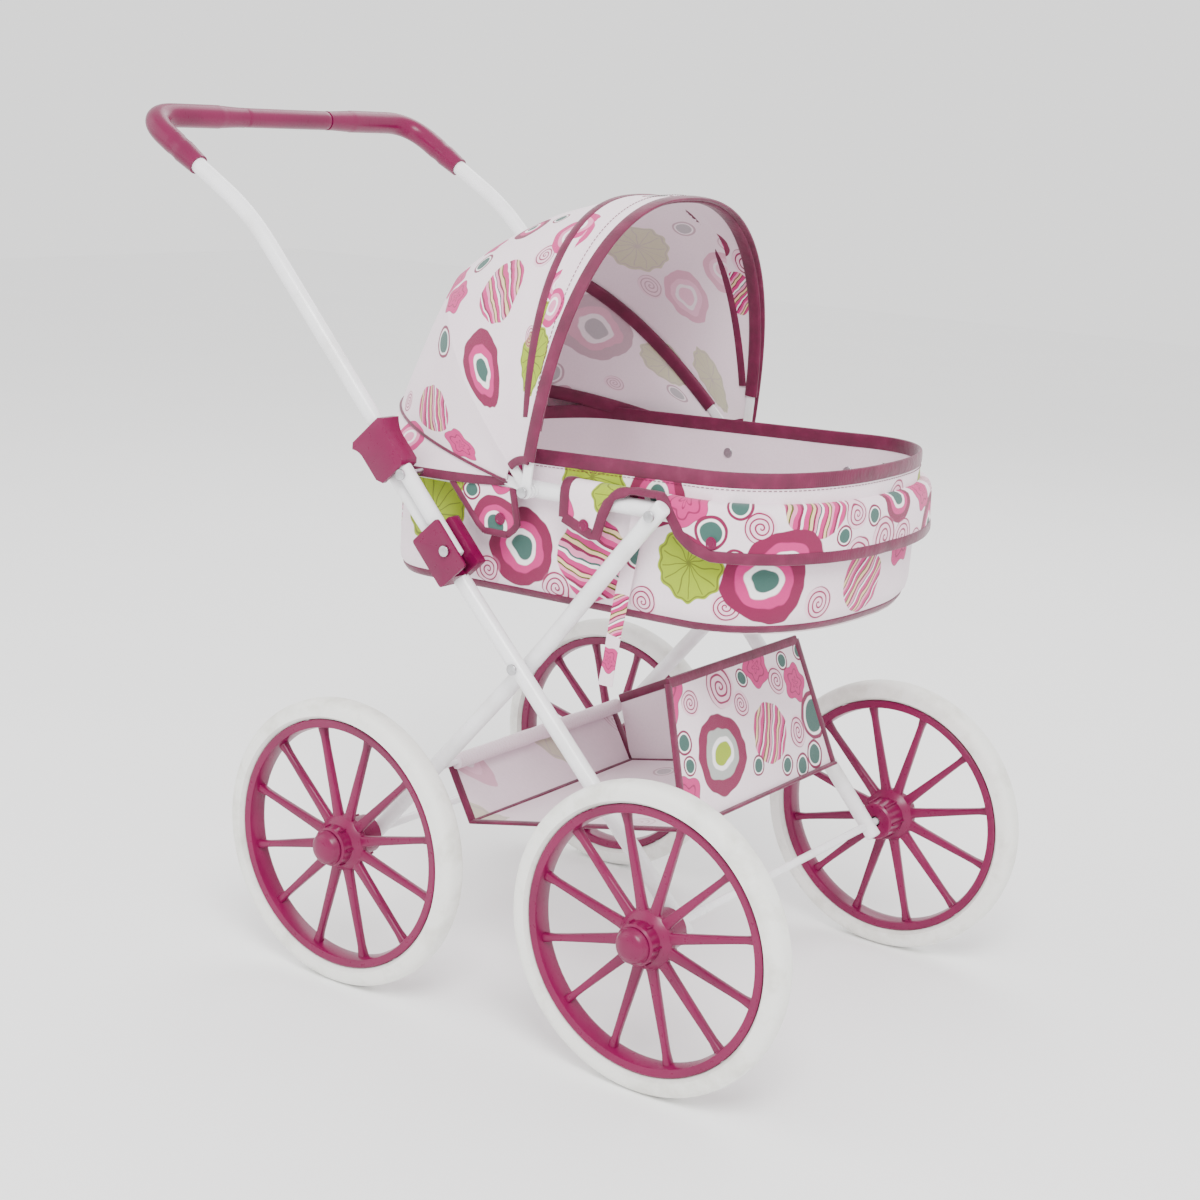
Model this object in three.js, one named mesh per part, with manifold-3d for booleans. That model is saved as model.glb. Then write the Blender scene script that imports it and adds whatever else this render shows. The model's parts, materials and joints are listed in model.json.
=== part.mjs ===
// Doll pram: an X frame of bent tube on four large spoked wheels, with a soft carrycot,
// a folding hood, a sling basket and a push handle that locks to the front legs.
// Millimetres. +X is forward, +Y is the pram's left, +Z is up.
import * as THREE from "three";
import { mergeVertices } from "three/addons/utils/BufferGeometryUtils.js";
import Module from "manifold-3d";

const wasm = await Module();
wasm.setup();

// ---- driving dimensions ----
const wheelRadius = 125; // over the tyre's tread
const wheelFacets = 32; // flats round a tyre's tread
const wheelbase = 311; // rear axle to front axle
const wheelTrack = 396; // between the wheels' middle planes
const tyreWidth = 24;
const tyreHeight = 17; // tread to seat
const treadFlat = 6; // width of the flat that meets the ground
const rimWidth = 19;
const rimDepth = 7.5;
const spokeCount = 12;
const spokeRoot = 9.5; // spoke width at the hub
const spokeTip = 5; // spoke width at the rim
const spokeThickness = 6;
const hubRadius = 17;
const hubLength = 50;
const hubCapLength = 9;
const axleRadius = 3.5;
const tubeRadius = 7;
const tubeWall = 1.2;
const gap = 0.3; // between pieces that touch
const bowClearance = 1.2; // between a rear leg and what it bows round
const legSlope = 1.09; // rise of a front leg for each millimetre that it runs back
const frontLegTop = 222; // leg pivot to the front leg's top end, along the leg
const frontLegTopY = 171; // half width between the front legs at their top
const frontLegFootY = 154; // half width between the front legs at the axle
const legFootLength = 12; // tube past the axle
const handlePivotAlong = 107; // leg pivot to handle pivot, along the leg
const rimBoltAlong = 181; // leg pivot to the handle's carrycot bolt, along the leg
const handleY = 174.5; // half width between the handle's side tubes
const handleBendAlong = 446; // leg pivot to the handle's first bend
const gripRise = 36; // climb of the handle from its side bend to the grip's end
const gripReach = 68; // run of the same stretch
const cornerReach = 60; // run of the grip's corner
const cornerRise = 38;
const gripWall = 2.6;
const sleeveWall = 1.8;
const carrycotRimY = 146; // half width of the carrycot's rim tube
const carrycotRimZ = 443;
const straightRear = 30; // where the rim's straight sides start
const straightFront = 282; // and where they end
const rearEndLength = 78; // rounded end behind the straight sides
const frontEndLength = 100; // rounded end ahead of them
const rimSeam = 1; // butt joint of the rim tube, at the back
const shellFloorBelow = 91; // floor below the rim tube's axis
const shellHemAbove = 18; // hem above it, at the back
const shellHemRise = 14; // and how much higher the hem stands at the front
const shellFlare = 7; // how far the floor stands out past the hem
const clothThickness = 1.6;
const boardThickness = 3;
const boardInset = 8;
const hoodPivotX = 150;
const hoodReach = 218; // innermost bow, from the pivot to the crown
const hoodSideClearance = 0.6; // innermost bow to the rim tube
const bowThickness = 2;
const bowWidth = 8;
const hoodPower = 2.4; // squareness of a bow's arch
const panelThickness = 1.2;
const clothClearance = 0.8; // between a bow and the faceted cloth over it
const bowAngles = { rear: 168, middle: 134, front: 84 }; // degrees above straight ahead
const panelSplits = { rear: 149, middle: 109 }; // where one bow's cloth meets the next
const facingReach = 34; // depth of the doubled cloth inside the hood's front edge
const apronRise = 13; // front apron, above the rim tube's axis
const apronDrop = 27; // and below it
const boltRadius = 2.5;
const boltHeadRadius = 4.6;
const boltHead = 2.4;
const collarWall = 2.6;
const lockLength = 44;
const lockAboveLeg = 8; // how far the lock sleeve stands past the leg's end
const pivotCollarLength = 46;
const basketHalf = 120;
const basketTopHalf = 101;
const basketRodRadius = 2.5;
const basketRodX = 56;
const basketSleeveRadius = 8;
const basketFloorRear = [76, 141]; // X and Z
const basketFloorFront = [290, 186];
const basketFrontTop = [254, 296];
const strapWidth = 14;

const white = "#eceae6";
const magenta = "#a5124f";
const rubber = "#e6e7e0";
const print = "#e9c3cf";
const steel = "#9a9a9c";

// ---- places worked out from them ----
const axleZ = wheelRadius * Math.cos(Math.PI / wheelFacets);
const rearAxle = [0, axleZ];
const frontAxle = [wheelbase, axleZ];
const rimPivotX = straightFront - 10;
const legDirection = new THREE.Vector2(-1, legSlope).normalize(); // up and back
const legNormal = new THREE.Vector2(legSlope, 1).normalize(); // up and forward
const rearLegSlope = (carrycotRimZ - axleZ) / rimPivotX;
const crossX = (legSlope * wheelbase) / (legSlope + rearLegSlope);
const cross = [crossX, axleZ + rearLegSlope * crossX];
const tubeSpacing = 2 * tubeRadius + 0.4;
const hoodSideY = carrycotRimY + tubeRadius + hoodSideClearance; // innermost bow, half width
// A hole through one side of the frame starts inside every tube and ends outside them.
const drillFrom = Math.min(carrycotRimY, frontLegFootY) - 3 * tubeRadius;
const drillTo = Math.max(handleY, frontLegTopY) + 4 * tubeRadius;

// A point beside the front leg: so far up it from the leg pivot, so far ahead of it.
function alongLeg(along, ahead = 0) {
  return [
    cross[0] + legDirection.x * along + legNormal.x * ahead,
    cross[1] + legDirection.y * along + legNormal.y * ahead,
  ];
}
const handlePivot = alongLeg(handlePivotAlong, tubeSpacing);
const rimBolt = alongLeg(rimBoltAlong, tubeSpacing);
const legLength = Math.hypot(wheelbase - cross[0], cross[1] - axleZ);
const frontLegY = (along) =>
  frontLegFootY + ((frontLegTopY - frontLegFootY) * (along + legLength)) / (frontLegTop + legLength);
const rearLegCrossY = frontLegY(0) - 2 * tubeRadius - bowClearance;
const rearLegTopY = carrycotRimY + 2 * tubeRadius + bowClearance;
const rearLegFootY = frontLegFootY;

// ---- building blocks ----
const model = new THREE.Group();
const mid = (a, b) => (a + b) / 2;
const at = ([x, z], y) => new THREE.Vector3(x, y, z);

function add(name, geometry, colour, roughness, metalness) {
  const material = new THREE.MeshStandardMaterial({ color: colour, roughness, metalness });
  const mesh = new THREE.Mesh(geometry, material);
  mesh.name = name;
  model.add(mesh);
}
const addPaint = (name, geometry) => add(name, geometry, white, 0.35, 0.1);
const addPlastic = (name, geometry) => add(name, geometry, magenta, 0.38, 0);
const addCloth = (name, geometry) => add(name, geometry, print, 0.9, 0);
const addSteel = (name, geometry) => add(name, geometry, steel, 0.3, 1);

// The geometry as one closed solid that faces out.
function solid(geometry) {
  const bare = geometry.clone();
  bare.deleteAttribute("normal");
  bare.deleteAttribute("uv");
  const merged = mergeVertices(bare, 1e-3);
  const corners = merged.index.array;
  const triangles = [];
  for (let i = 0; i < corners.length; i += 3) {
    const [a, b, c] = corners.slice(i, i + 3);
    if (a !== b && b !== c && c !== a) triangles.push(a, b, c);
  }
  const build = (triVerts) =>
    new wasm.Manifold(
      new wasm.Mesh({
        numProp: 3,
        vertProperties: merged.attributes.position.array,
        triVerts: new Uint32Array(triVerts),
      }),
    );
  const made = build(triangles);
  return made.volume() > 0 ? made : build(triangles.reverse());
}

function geometryOf(made) {
  const mesh = made.getMesh();
  const geometry = new THREE.BufferGeometry();
  geometry.setAttribute("position", new THREE.BufferAttribute(mesh.vertProperties.slice(), 3));
  geometry.setIndex(new THREE.BufferAttribute(mesh.triVerts.slice(), 1));
  return geometry;
}

function join(...parts) {
  return parts.reduce((whole, part) => whole.add(part));
}

function cut(body, ...tools) {
  return tools.reduce((left, tool) => left.subtract(tool), body);
}

// A round bar across the pram, from one Y to another.
function bar([x, z], y0, y1, radius, sides = 16) {
  const geometry = new THREE.CylinderGeometry(radius, radius, Math.abs(y1 - y0), sides);
  return geometry.translate(x, mid(y0, y1), z);
}

// A body turned about the Y axis through (x, z); its profile is [radius, y] pairs.
function turned([x, z], profile, sides) {
  const points = profile.map(([radius, y]) => new THREE.Vector2(radius, y));
  return new THREE.LatheGeometry(points, sides).translate(x, 0, z);
}

// A round tube along a curve, with open ends, or a bar where there is no wall.
function tube(curve, radius, wall, steps, sides = 8) {
  const outline = new THREE.Shape();
  outline.absarc(0, 0, radius, 0, 2 * Math.PI);
  if (wall > 0) {
    const bore = new THREE.Path();
    bore.absarc(0, 0, radius - wall, 0, 2 * Math.PI, true);
    outline.holes.push(bore);
  }
  return new THREE.ExtrudeGeometry(outline, {
    steps,
    curveSegments: sides / 2,
    bevelEnabled: false,
    extrudePath: curve,
  });
}

// A path of straight stretches joined by round bends.
function bentPath(corners, bend) {
  const path = new THREE.CurvePath();
  let from = corners[0];
  for (let i = 1; i < corners.length - 1; i++) {
    const back = corners[i - 1].clone().sub(corners[i]).setLength(bend);
    const ahead = corners[i + 1].clone().sub(corners[i]).setLength(bend);
    const enter = corners[i].clone().add(back);
    const leave = corners[i].clone().add(ahead);
    path.add(new THREE.LineCurve3(from, enter));
    path.add(new THREE.QuadraticBezierCurve3(enter, corners[i], leave));
    from = leave;
  }
  path.add(new THREE.LineCurve3(from, corners[corners.length - 1]));
  return path;
}

// A closed skin between two grids of points, grid[row][column], front and back.
function slab(front, back, closed = false) {
  const rows = front.length;
  const columns = front[0].length;
  const points = [...front.flat(), ...back.flat()];
  const index = [];
  const here = (side, row, column) => side * rows * columns + row * columns + (column % columns);
  const quad = (a, b, c, d) => index.push(a, b, c, a, c, d);
  const spans = closed ? columns : columns - 1;
  for (let row = 0; row < rows - 1; row++)
    for (let column = 0; column < spans; column++) {
      const corner = (side, r, c) => here(side, row + r, column + c);
      quad(corner(0, 0, 0), corner(0, 0, 1), corner(0, 1, 1), corner(0, 1, 0));
      quad(corner(1, 0, 0), corner(1, 1, 0), corner(1, 1, 1), corner(1, 0, 1));
    }
  for (let column = 0; column < spans; column++) {
    const last = rows - 1;
    quad(here(0, 0, column), here(1, 0, column), here(1, 0, column + 1), here(0, 0, column + 1));
    quad(here(0, last, column), here(0, last, column + 1), here(1, last, column + 1), here(1, last, column));
  }
  if (!closed)
    for (let row = 0; row < rows - 1; row++) {
      const last = columns - 1;
      quad(here(0, row, 0), here(0, row + 1, 0), here(1, row + 1, 0), here(1, row, 0));
      quad(here(0, row, last), here(1, row, last), here(1, row + 1, last), here(0, row + 1, last));
    }
  const geometry = new THREE.BufferGeometry().setFromPoints(points);
  geometry.setIndex(index);
  return geometry;
}

// A bolt across the pram: a shank from y0 to y1 with a head outside each end that has one.
function bolt(place, y0, y1, heads = [true, true]) {
  const out = Math.sign(y1 - y0);
  const parts = [solid(bar(place, y0, y1, boltRadius, 12))];
  const head = (y, way) => solid(bar(place, y, y + way * boltHead, boltHeadRadius, 12));
  if (heads[0]) parts.push(head(y0, -out));
  if (heads[1]) parts.push(head(y1, out));
  return join(...parts);
}
const hole = (place, y0, y1, radius = boltRadius) => solid(bar(place, y0, y1, radius + gap, 12));
const crossHole = (place, side, radius) => hole(place, side * drillFrom, side * drillTo, radius);

// ---- wheels ----
const hubSides = 16;
const hubInner = wheelTrack / 2 - hubLength * 0.62;
const hubOuter = hubInner + hubLength;

function tyre(place, side) {
  const middle = (side * wheelTrack) / 2;
  const half = tyreWidth / 2;
  const tread = wheelRadius;
  const profile = [
    [tread - tyreHeight, -half * 0.62],
    [tread - tyreHeight * 0.62, -half],
    [tread, -treadFlat / 2],
    [tread, treadFlat / 2],
    [tread - tyreHeight * 0.62, half],
    [tread - tyreHeight, half * 0.62],
    [tread - tyreHeight, -half * 0.62],
  ];
  const ring = new THREE.LatheGeometry(
    profile.map(([radius, y]) => new THREE.Vector2(radius, y)),
    wheelFacets,
  );
  // A flat of the tread, not an edge, is straight below the axle.
  return ring.rotateY(Math.PI / wheelFacets).translate(place[0], middle, place[1]);
}

function wheel(place, side) {
  const middle = (side * wheelTrack) / 2;
  const seat = (wheelRadius - tyreHeight) * Math.cos(Math.PI / wheelFacets) - gap;
  const ring = solid(
    turned(
      place,
      [
        [seat, middle - tyreWidth * 0.31],
        [seat, middle + tyreWidth * 0.31],
        [seat - rimDepth, middle + rimWidth / 2],
        [seat - rimDepth, middle - rimWidth / 2],
        [seat, middle - tyreWidth * 0.31],
      ],
      wheelFacets,
    ),
  );
  const inner = side * hubInner;
  const outer = side * hubOuter;
  const hub = solid(
    turned(
      place,
      [
        [0, inner],
        [hubRadius * 0.72, inner],
        [hubRadius * 0.8, inner + side * 8],
        [hubRadius, inner + side * 14],
        [hubRadius, outer - side * 12],
        [hubRadius * 0.86, outer],
        [0, outer],
      ],
      hubSides,
    ),
  );
  const parts = [ring, hub];
  for (let i = 0; i < spokeCount; i++) {
    const outline = new THREE.Shape([
      new THREE.Vector2(hubRadius * 0.7, -spokeRoot / 2),
      new THREE.Vector2(seat - rimDepth / 2, -spokeTip / 2),
      new THREE.Vector2(seat - rimDepth / 2, spokeTip / 2),
      new THREE.Vector2(hubRadius * 0.7, spokeRoot / 2),
    ]);
    const spoke = new THREE.ExtrudeGeometry(outline, { depth: spokeThickness, bevelEnabled: false });
    spoke.translate(0, 0, -spokeThickness / 2);
    spoke.rotateX(Math.PI / 2);
    spoke.rotateY(((i + 0.5) * 2 * Math.PI) / spokeCount);
    parts.push(solid(spoke.translate(place[0], middle, place[1])));
  }
  const bore = hole(place, side * (hubInner - 1), side * (hubOuter + 1), axleRadius);
  const pocket = solid(bar(place, side * (hubOuter - 6), side * (hubOuter + 1), axleRadius + 4, 16));
  return cut(join(...parts), bore, pocket);
}

// A domed cap over the axle's end, seated on the hub's outer face.
function hubCap(place, side) {
  const seat = side * (hubOuter + gap);
  const top = side * (hubOuter + gap + hubCapLength);
  return turned(
    place,
    [
      [0, seat],
      [hubRadius * 0.84, seat],
      [hubRadius * 0.8, seat + side * hubCapLength * 0.5],
      [hubRadius * 0.52, seat + side * hubCapLength * 0.9],
      [0, top],
    ],
    hubSides,
  );
}

// A pressed ring on the axle's end, in the hub's pocket, that keeps the wheel on.
function pushNut(place, side) {
  const inner = side * (hubOuter - 4);
  const outer = side * (hubOuter - 1.5);
  const ring = solid(bar(place, inner, outer, axleRadius + 3.4, 16));
  return cut(ring, hole(place, inner - side, outer + side, axleRadius));
}

const axles = { front: frontAxle, rear: rearAxle };
const sides = { right: -1, left: 1 };
for (const [end, place] of Object.entries(axles)) {
  for (const [hand, side] of Object.entries(sides)) {
    add(`tyre_${end}_${hand}`, geometryOf(solid(tyre(place, side))), rubber, 0.75, 0);
    addPlastic(`wheel_${end}_${hand}`, geometryOf(wheel(place, side)));
    addPlastic(`hub_cap_${end}_${hand}`, geometryOf(solid(hubCap(place, side))));
    addSteel(`push_nut_${end}_${hand}`, geometryOf(pushNut(place, side)));
  }
  addPaint(`${end}_axle`, bar(place, -(hubOuter - 1), hubOuter - 1, axleRadius, 16));
}

// ---- frame ----
function frontLeg(side) {
  const foot = at(alongLeg(-legLength - legFootLength), side * frontLegY(-legLength - legFootLength));
  const top = at(alongLeg(frontLegTop), side * frontLegY(frontLegTop));
  const leg = solid(tube(new THREE.LineCurve3(foot, top), tubeRadius, tubeWall, 1));
  const across = (place, radius) => crossHole(place, side, radius);
  return cut(leg, across(frontAxle, axleRadius), across(cross), across(alongLeg(handlePivotAlong)));
}

// A rear leg bows inward where it passes the front leg.
const rearLegTopPast = 10;
const rearLegDirection = new THREE.Vector2(1, rearLegSlope).normalize();
function rearLegPath(side) {
  const past = (place, reach) => [
    place[0] + rearLegDirection.x * reach,
    place[1] + rearLegDirection.y * reach,
  ];
  const top = [rimPivotX, carrycotRimZ];
  return new THREE.CatmullRomCurve3([
    at(past(rearAxle, -legFootLength), side * rearLegFootY),
    at(past(rearAxle, 60), side * mid(rearLegFootY, mid(rearLegFootY, rearLegCrossY))),
    at(past(cross, -30), side * rearLegCrossY),
    at(past(cross, 30), side * rearLegCrossY),
    at(past(top, -60), side * mid(rearLegTopY, mid(rearLegTopY, rearLegCrossY))),
    at(past(top, -14), side * rearLegTopY),
    at(past(top, rearLegTopPast), side * rearLegTopY),
  ]);
}

function rearLeg(side) {
  const leg = solid(tube(rearLegPath(side), tubeRadius, tubeWall, 12));
  const across = (place, radius) => crossHole(place, side, radius);
  return cut(
    leg,
    across(rearAxle, axleRadius),
    across(cross),
    across([rimPivotX, carrycotRimZ]),
    across([basketRodX, axleZ + rearLegSlope * basketRodX], basketRodRadius),
  );
}

const basketRodPlace = [basketRodX, axleZ + rearLegSlope * basketRodX];
for (const [hand, side] of Object.entries(sides)) {
  addPaint(`front_leg_${hand}`, geometryOf(frontLeg(side)));
  addPaint(`rear_leg_${hand}`, geometryOf(rearLeg(side)));
  const legOuter = side * (frontLegY(0) + tubeRadius + gap);
  const legInner = side * (rearLegCrossY - tubeRadius - bowClearance);
  addSteel(`cross_bolt_${hand}`, geometryOf(bolt(cross, legInner, legOuter)));
}
addPaint("basket_rod", bar(basketRodPlace, -(rearLegFootY + 4), rearLegFootY + 4, basketRodRadius, 10));

// ---- handle ----
const handleEnd = alongLeg(handlePivotAlong - tubeRadius, tubeSpacing);
const handleBend = alongLeg(handleBendAlong, tubeSpacing);
const gripStart = [handleBend[0] - gripReach, handleBend[1] + gripRise + 1];
const gripCorner = [gripStart[0] - cornerReach, gripStart[1] + cornerRise];
const handleCorners = [
  at(handleEnd, -handleY),
  at(handleBend, -handleY),
  at(gripCorner, -handleY),
  at(gripCorner, handleY),
  at(handleBend, handleY),
  at(handleEnd, handleY),
];

// The handle's own curve between two shares of its length.
class Stretch extends THREE.Curve {
  constructor(curve, from, to) {
    super();
    Object.assign(this, { curve, from, to });
  }
  getPoint(t, target = new THREE.Vector3()) {
    return target.copy(this.curve.getPointAt(this.from + (this.to - this.from) * t));
  }
}
const handleBendReach = 34;
const handleSteps = 44;
const handlePath = bentPath(handleCorners, handleBendReach);
const handleCurve = new Stretch(handlePath, 0, 1);
const handleLength = handlePath.getLength();
const sideLength = at(handleEnd, 0).distanceTo(at(handleBend, 0));
const gripFrom = (sideLength + Math.hypot(gripReach, gripRise) - 6) / handleLength;
const gripTo = 0.5 - 55 / handleLength;

// The handle's ends are rounded about their pivots, so that they turn clear of the front legs.
function handleEndCutter(side) {
  const around = legBlock(
    handlePivotAlong - 20, handlePivotAlong, tubeSpacing - 20, tubeSpacing + 20,
    side * (handleY - 20), side * (handleY + 20), 0.5,
  );
  return cut(around, solid(bar(handlePivot, side * (handleY - 25), side * (handleY + 25), tubeRadius, 24)));
}

function handleTube() {
  let handle = solid(tube(handleCurve, tubeRadius, tubeWall, handleSteps));
  for (const side of Object.values(sides)) {
    const pivotHole = crossHole(handlePivot, side);
    handle = cut(handle, handleEndCutter(side), pivotHole, crossHole(rimBolt, side));
  }
  return handle;
}

function moulding(from, to, wall, steps) {
  const outside = solid(tube(new Stretch(handlePath, from, to), tubeRadius + gap + wall, 0, steps));
  return geometryOf(cut(outside, solid(tube(handleCurve, tubeRadius + gap, 0, handleSteps))));
}
addPaint("handle_tube", geometryOf(handleTube()));
addPlastic("grip_right", moulding(gripFrom, gripTo, gripWall, 16));
addPlastic("grip_left", moulding(1 - gripTo, 1 - gripFrom, gripWall, 16));
const grip = gap / handleLength;
addPlastic("grip_centre", moulding(gripTo + grip, 1 - gripTo - grip, sleeveWall, 2));

// ---- collars ----
// A block beside the leg: its run along the leg, its reach ahead of it and its width in Y.
function legBlock(from, to, behind, ahead, y0, y1, round = 3) {
  const outline = new THREE.Shape();
  outline.moveTo(from + round, behind);
  outline.lineTo(to - round, behind);
  outline.quadraticCurveTo(to, behind, to, behind + round);
  outline.lineTo(to, ahead - round);
  outline.quadraticCurveTo(to, ahead, to - round, ahead);
  outline.lineTo(from + round, ahead);
  outline.quadraticCurveTo(from, ahead, from, ahead - round);
  outline.lineTo(from, behind + round);
  outline.quadraticCurveTo(from, behind, from + round, behind);
  return legExtrusion(outline, y0, y1);
}

// An outline drawn along and ahead of the leg, made as thick as y0 to y1.
function legExtrusion(outline, y0, y1) {
  const geometry = new THREE.ExtrudeGeometry(outline, {
    depth: Math.abs(y1 - y0),
    bevelEnabled: false,
    curveSegments: 4,
  });
  const low = Math.min(y0, y1);
  const frame = new THREE.Matrix4().makeBasis(
    new THREE.Vector3(legDirection.x, 0, legDirection.y),
    new THREE.Vector3(legNormal.x, 0, legNormal.y),
    new THREE.Vector3(0, 1, 0),
  );
  geometry.applyMatrix4(frame);
  return solid(geometry.translate(cross[0], low, cross[1]));
}

const lockFrom = frontLegTop - lockLength + lockAboveLeg;
const lockTo = lockFrom + lockLength;
const collarFrom = handlePivotAlong - pivotCollarLength * 0.45;
const collarTo = collarFrom + pivotCollarLength;
const reach = tubeRadius + collarWall;
const collarInner = frontLegY(handlePivotAlong) - tubeRadius - collarWall;
const collarOuter = handleY + tubeRadius + collarWall;
const legSpace = (side, more) =>
  solid(
    tube(
      new THREE.LineCurve3(
        at(alongLeg(40), side * frontLegY(40)),
        at(alongLeg(frontLegTop + 12), side * frontLegY(frontLegTop + 12)),
      ),
      tubeRadius + more,
      0,
      1,
      16,
    ),
  );

// Holds the handle to the front leg. Its front is open, so that the handle can swing out.
function pivotCollar(side) {
  const block = legBlock(
    collarFrom, collarTo, -reach, tubeSpacing + reach, side * collarInner, side * collarOuter,
  );
  const inner = side * (handleY - tubeRadius - gap);
  const outer = side * (handleY + tubeRadius + gap);
  const front = tubeSpacing + 60;
  const back = tubeSpacing - tubeRadius - gap;
  const swing = legBlock(collarFrom - 20, collarTo + 20, back, front, inner, outer, 0.5);
  return cut(block, legSpace(side, gap), swing, crossHole(handlePivot, side));
}

// Slides on the handle tube and drops over the front leg's end. Its back is open.
const lockInner = Math.min(frontLegY(lockFrom), handleY) - tubeRadius - collarWall;
function lockSleeve(side) {
  const outline = new THREE.Shape();
  const back = -tubeRadius - 2;
  const front = tubeSpacing + reach;
  outline.moveTo(lockFrom, back + 4);
  outline.lineTo(lockFrom + 6, back);
  outline.lineTo(lockTo - 14, back);
  outline.quadraticCurveTo(lockTo - 8, back - 1, lockTo - 4, back - 5);
  outline.lineTo(lockTo, back - 1);
  outline.lineTo(lockTo, front + 1);
  outline.lineTo(lockTo - 4, front + 6);
  outline.quadraticCurveTo(lockTo - 10, front + 1, lockTo - 16, front);
  outline.lineTo(lockFrom + 3, front);
  outline.lineTo(lockFrom, front - 3);
  const block = legExtrusion(outline, side * lockInner, side * collarOuter);
  const handleSpace = solid(
    tube(
      new THREE.LineCurve3(
        at(alongLeg(lockFrom - 20, tubeSpacing), side * handleY),
        at(alongLeg(lockTo + 20, tubeSpacing), side * handleY),
      ),
      tubeRadius + gap,
      0,
      1,
      16,
    ),
  );
  const slotInner = side * (frontLegY(lockFrom) - tubeRadius - 1.4);
  const slotOuter = side * (frontLegY(lockTo) + tubeRadius + 1.4);
  const slot = legBlock(lockFrom - 20, frontLegTop + 4, -60, tubeRadius + gap, slotInner, slotOuter, 0.5);
  // Ahead of the leg the wall steps in to the handle tube, which leaves the folded hood room.
  const stepFrom = tubeRadius + gap + collarWall;
  const stepTo = side * (handleY - tubeRadius - collarWall);
  const stepSide = side * (lockInner - 5);
  const step = legBlock(lockFrom - 20, lockTo + 20, stepFrom, front + 20, stepSide, stepTo, 0.5);
  return cut(block, handleSpace, slot, step);
}

// A plug in the front leg's open top.
function legCap(side) {
  const base = frontLegTop + gap;
  const line = (a, b) =>
    new THREE.LineCurve3(at(alongLeg(a), side * frontLegY(a)), at(alongLeg(b), side * frontLegY(b)));
  const plug = solid(tube(line(base - 12, base + 1), tubeRadius - tubeWall - gap, 0, 1));
  return join(plug, solid(tube(line(base, base + 2.4), tubeRadius, 0, 1)));
}

for (const [hand, side] of Object.entries(sides)) {
  addPlastic(`pivot_collar_${hand}`, geometryOf(pivotCollar(side)));
  addPlastic(`lock_sleeve_${hand}`, geometryOf(lockSleeve(side)));
  addPlastic(`leg_cap_${hand}`, geometryOf(legCap(side)));
  const pin = bolt(handlePivot, side * (collarInner - gap), side * (collarOuter + gap));
  addSteel(`handle_pivot_${hand}`, geometryOf(pin));
  const reachIn = side * (carrycotRimY + tubeRadius + 1);
  const stud = bolt(rimBolt, reachIn, side * (handleY + tubeRadius + gap), [false, true]);
  addSteel(`rim_stud_${hand}`, geometryOf(stud));
}

// ---- carrycot ----
// The carrycot's outline from above, so far outside the rim tube's axis, at a share of a
// turn that starts at the back and goes round by the right side.
const planPower = 2.3;
const carrycotLength = rearEndLength + straightFront - straightRear + frontEndLength;
function planPoint(share, outside) {
  const turn = share * 2 * Math.PI;
  const forward = -Math.cos(turn);
  const sideways = -Math.sin(turn);
  const half = carrycotRimY + outside;
  const length = (forward < 0 ? rearEndLength : frontEndLength) + outside;
  const start = forward < 0 ? straightRear : straightFront;
  const bulge = Math.sign(forward) * Math.abs(forward) ** (2 / planPower);
  const y = half * Math.sign(sideways) * Math.abs(sideways) ** (2 / planPower);
  return [start + length * bulge, y];
}

class RimPath extends THREE.Curve {
  getPoint(t, target = new THREE.Vector3()) {
    const open = rimSeam / 900;
    const [x, y] = planPoint(open + (1 - 2 * open) * t, 0);
    return target.set(x, y, carrycotRimZ);
  }
}
const rimSteps = 36;
const rimCurve = new RimPath();
const rimPivot = [rimPivotX, carrycotRimZ];
const hoodPivot = [hoodPivotX, carrycotRimZ];
let rim = solid(tube(rimCurve, tubeRadius, tubeWall, rimSteps));
for (const side of Object.values(sides))
  rim = cut(rim, crossHole(rimPivot, side), crossHole(hoodPivot, side));
addPaint("carrycot_rim", geometryOf(rim));

// A level ring round that outline, or one that climbs towards the front.
const ringSteps = 40;
const forwardShare = (x) => (x + rearEndLength - straightRear) / carrycotLength;
function planRing(outside, z, rise = 0) {
  const ring = [];
  for (let i = 0; i < ringSteps; i++) {
    const [x, y] = planPoint(i / ringSteps, outside);
    ring.push(new THREE.Vector3(x, y, z + rise * forwardShare(x)));
  }
  return ring;
}

// Side walls and floor, one open-topped bag.
const hemZ = carrycotRimZ + shellHemAbove;
const floorZ = carrycotRimZ - shellFloorBelow;
const hemOutside = -(tubeRadius + gap + boltHead + 1);
const floorOutside = hemOutside + shellFlare;
function bag(inset, bottom) {
  const middle = new THREE.Vector3(mid(straightRear, straightFront), 0, bottom);
  return [
    planRing(hemOutside - inset, hemZ, shellHemRise),
    planRing(hemOutside - inset, carrycotRimZ - 14),
    planRing(floorOutside - inset, floorZ + 14),
    planRing(floorOutside - inset - 3, bottom),
    planRing(-80, bottom),
    planRing(0, bottom).map(() => middle.clone()),
  ];
}

// A bag from an outer and an inner set of rings, joined at the hem.
function bagSolid(outer, inner) {
  const rings = [...outer.slice().reverse(), ...inner];
  const points = rings.flat();
  const index = [];
  for (let row = 0; row < rings.length - 1; row++)
    for (let i = 0; i < ringSteps; i++) {
      const next = (i + 1) % ringSteps;
      const [a, b] = [row * ringSteps + i, row * ringSteps + next];
      const [c, d] = [a + ringSteps, b + ringSteps];
      index.push(a, b, d, a, d, c);
    }
  const geometry = new THREE.BufferGeometry().setFromPoints(points);
  geometry.setIndex(index);
  return solid(geometry);
}
const carrycot = bagSolid(bag(0, floorZ), bag(clothThickness, floorZ + clothThickness));
addCloth("carrycot_shell", geometryOf(carrycot));

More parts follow.
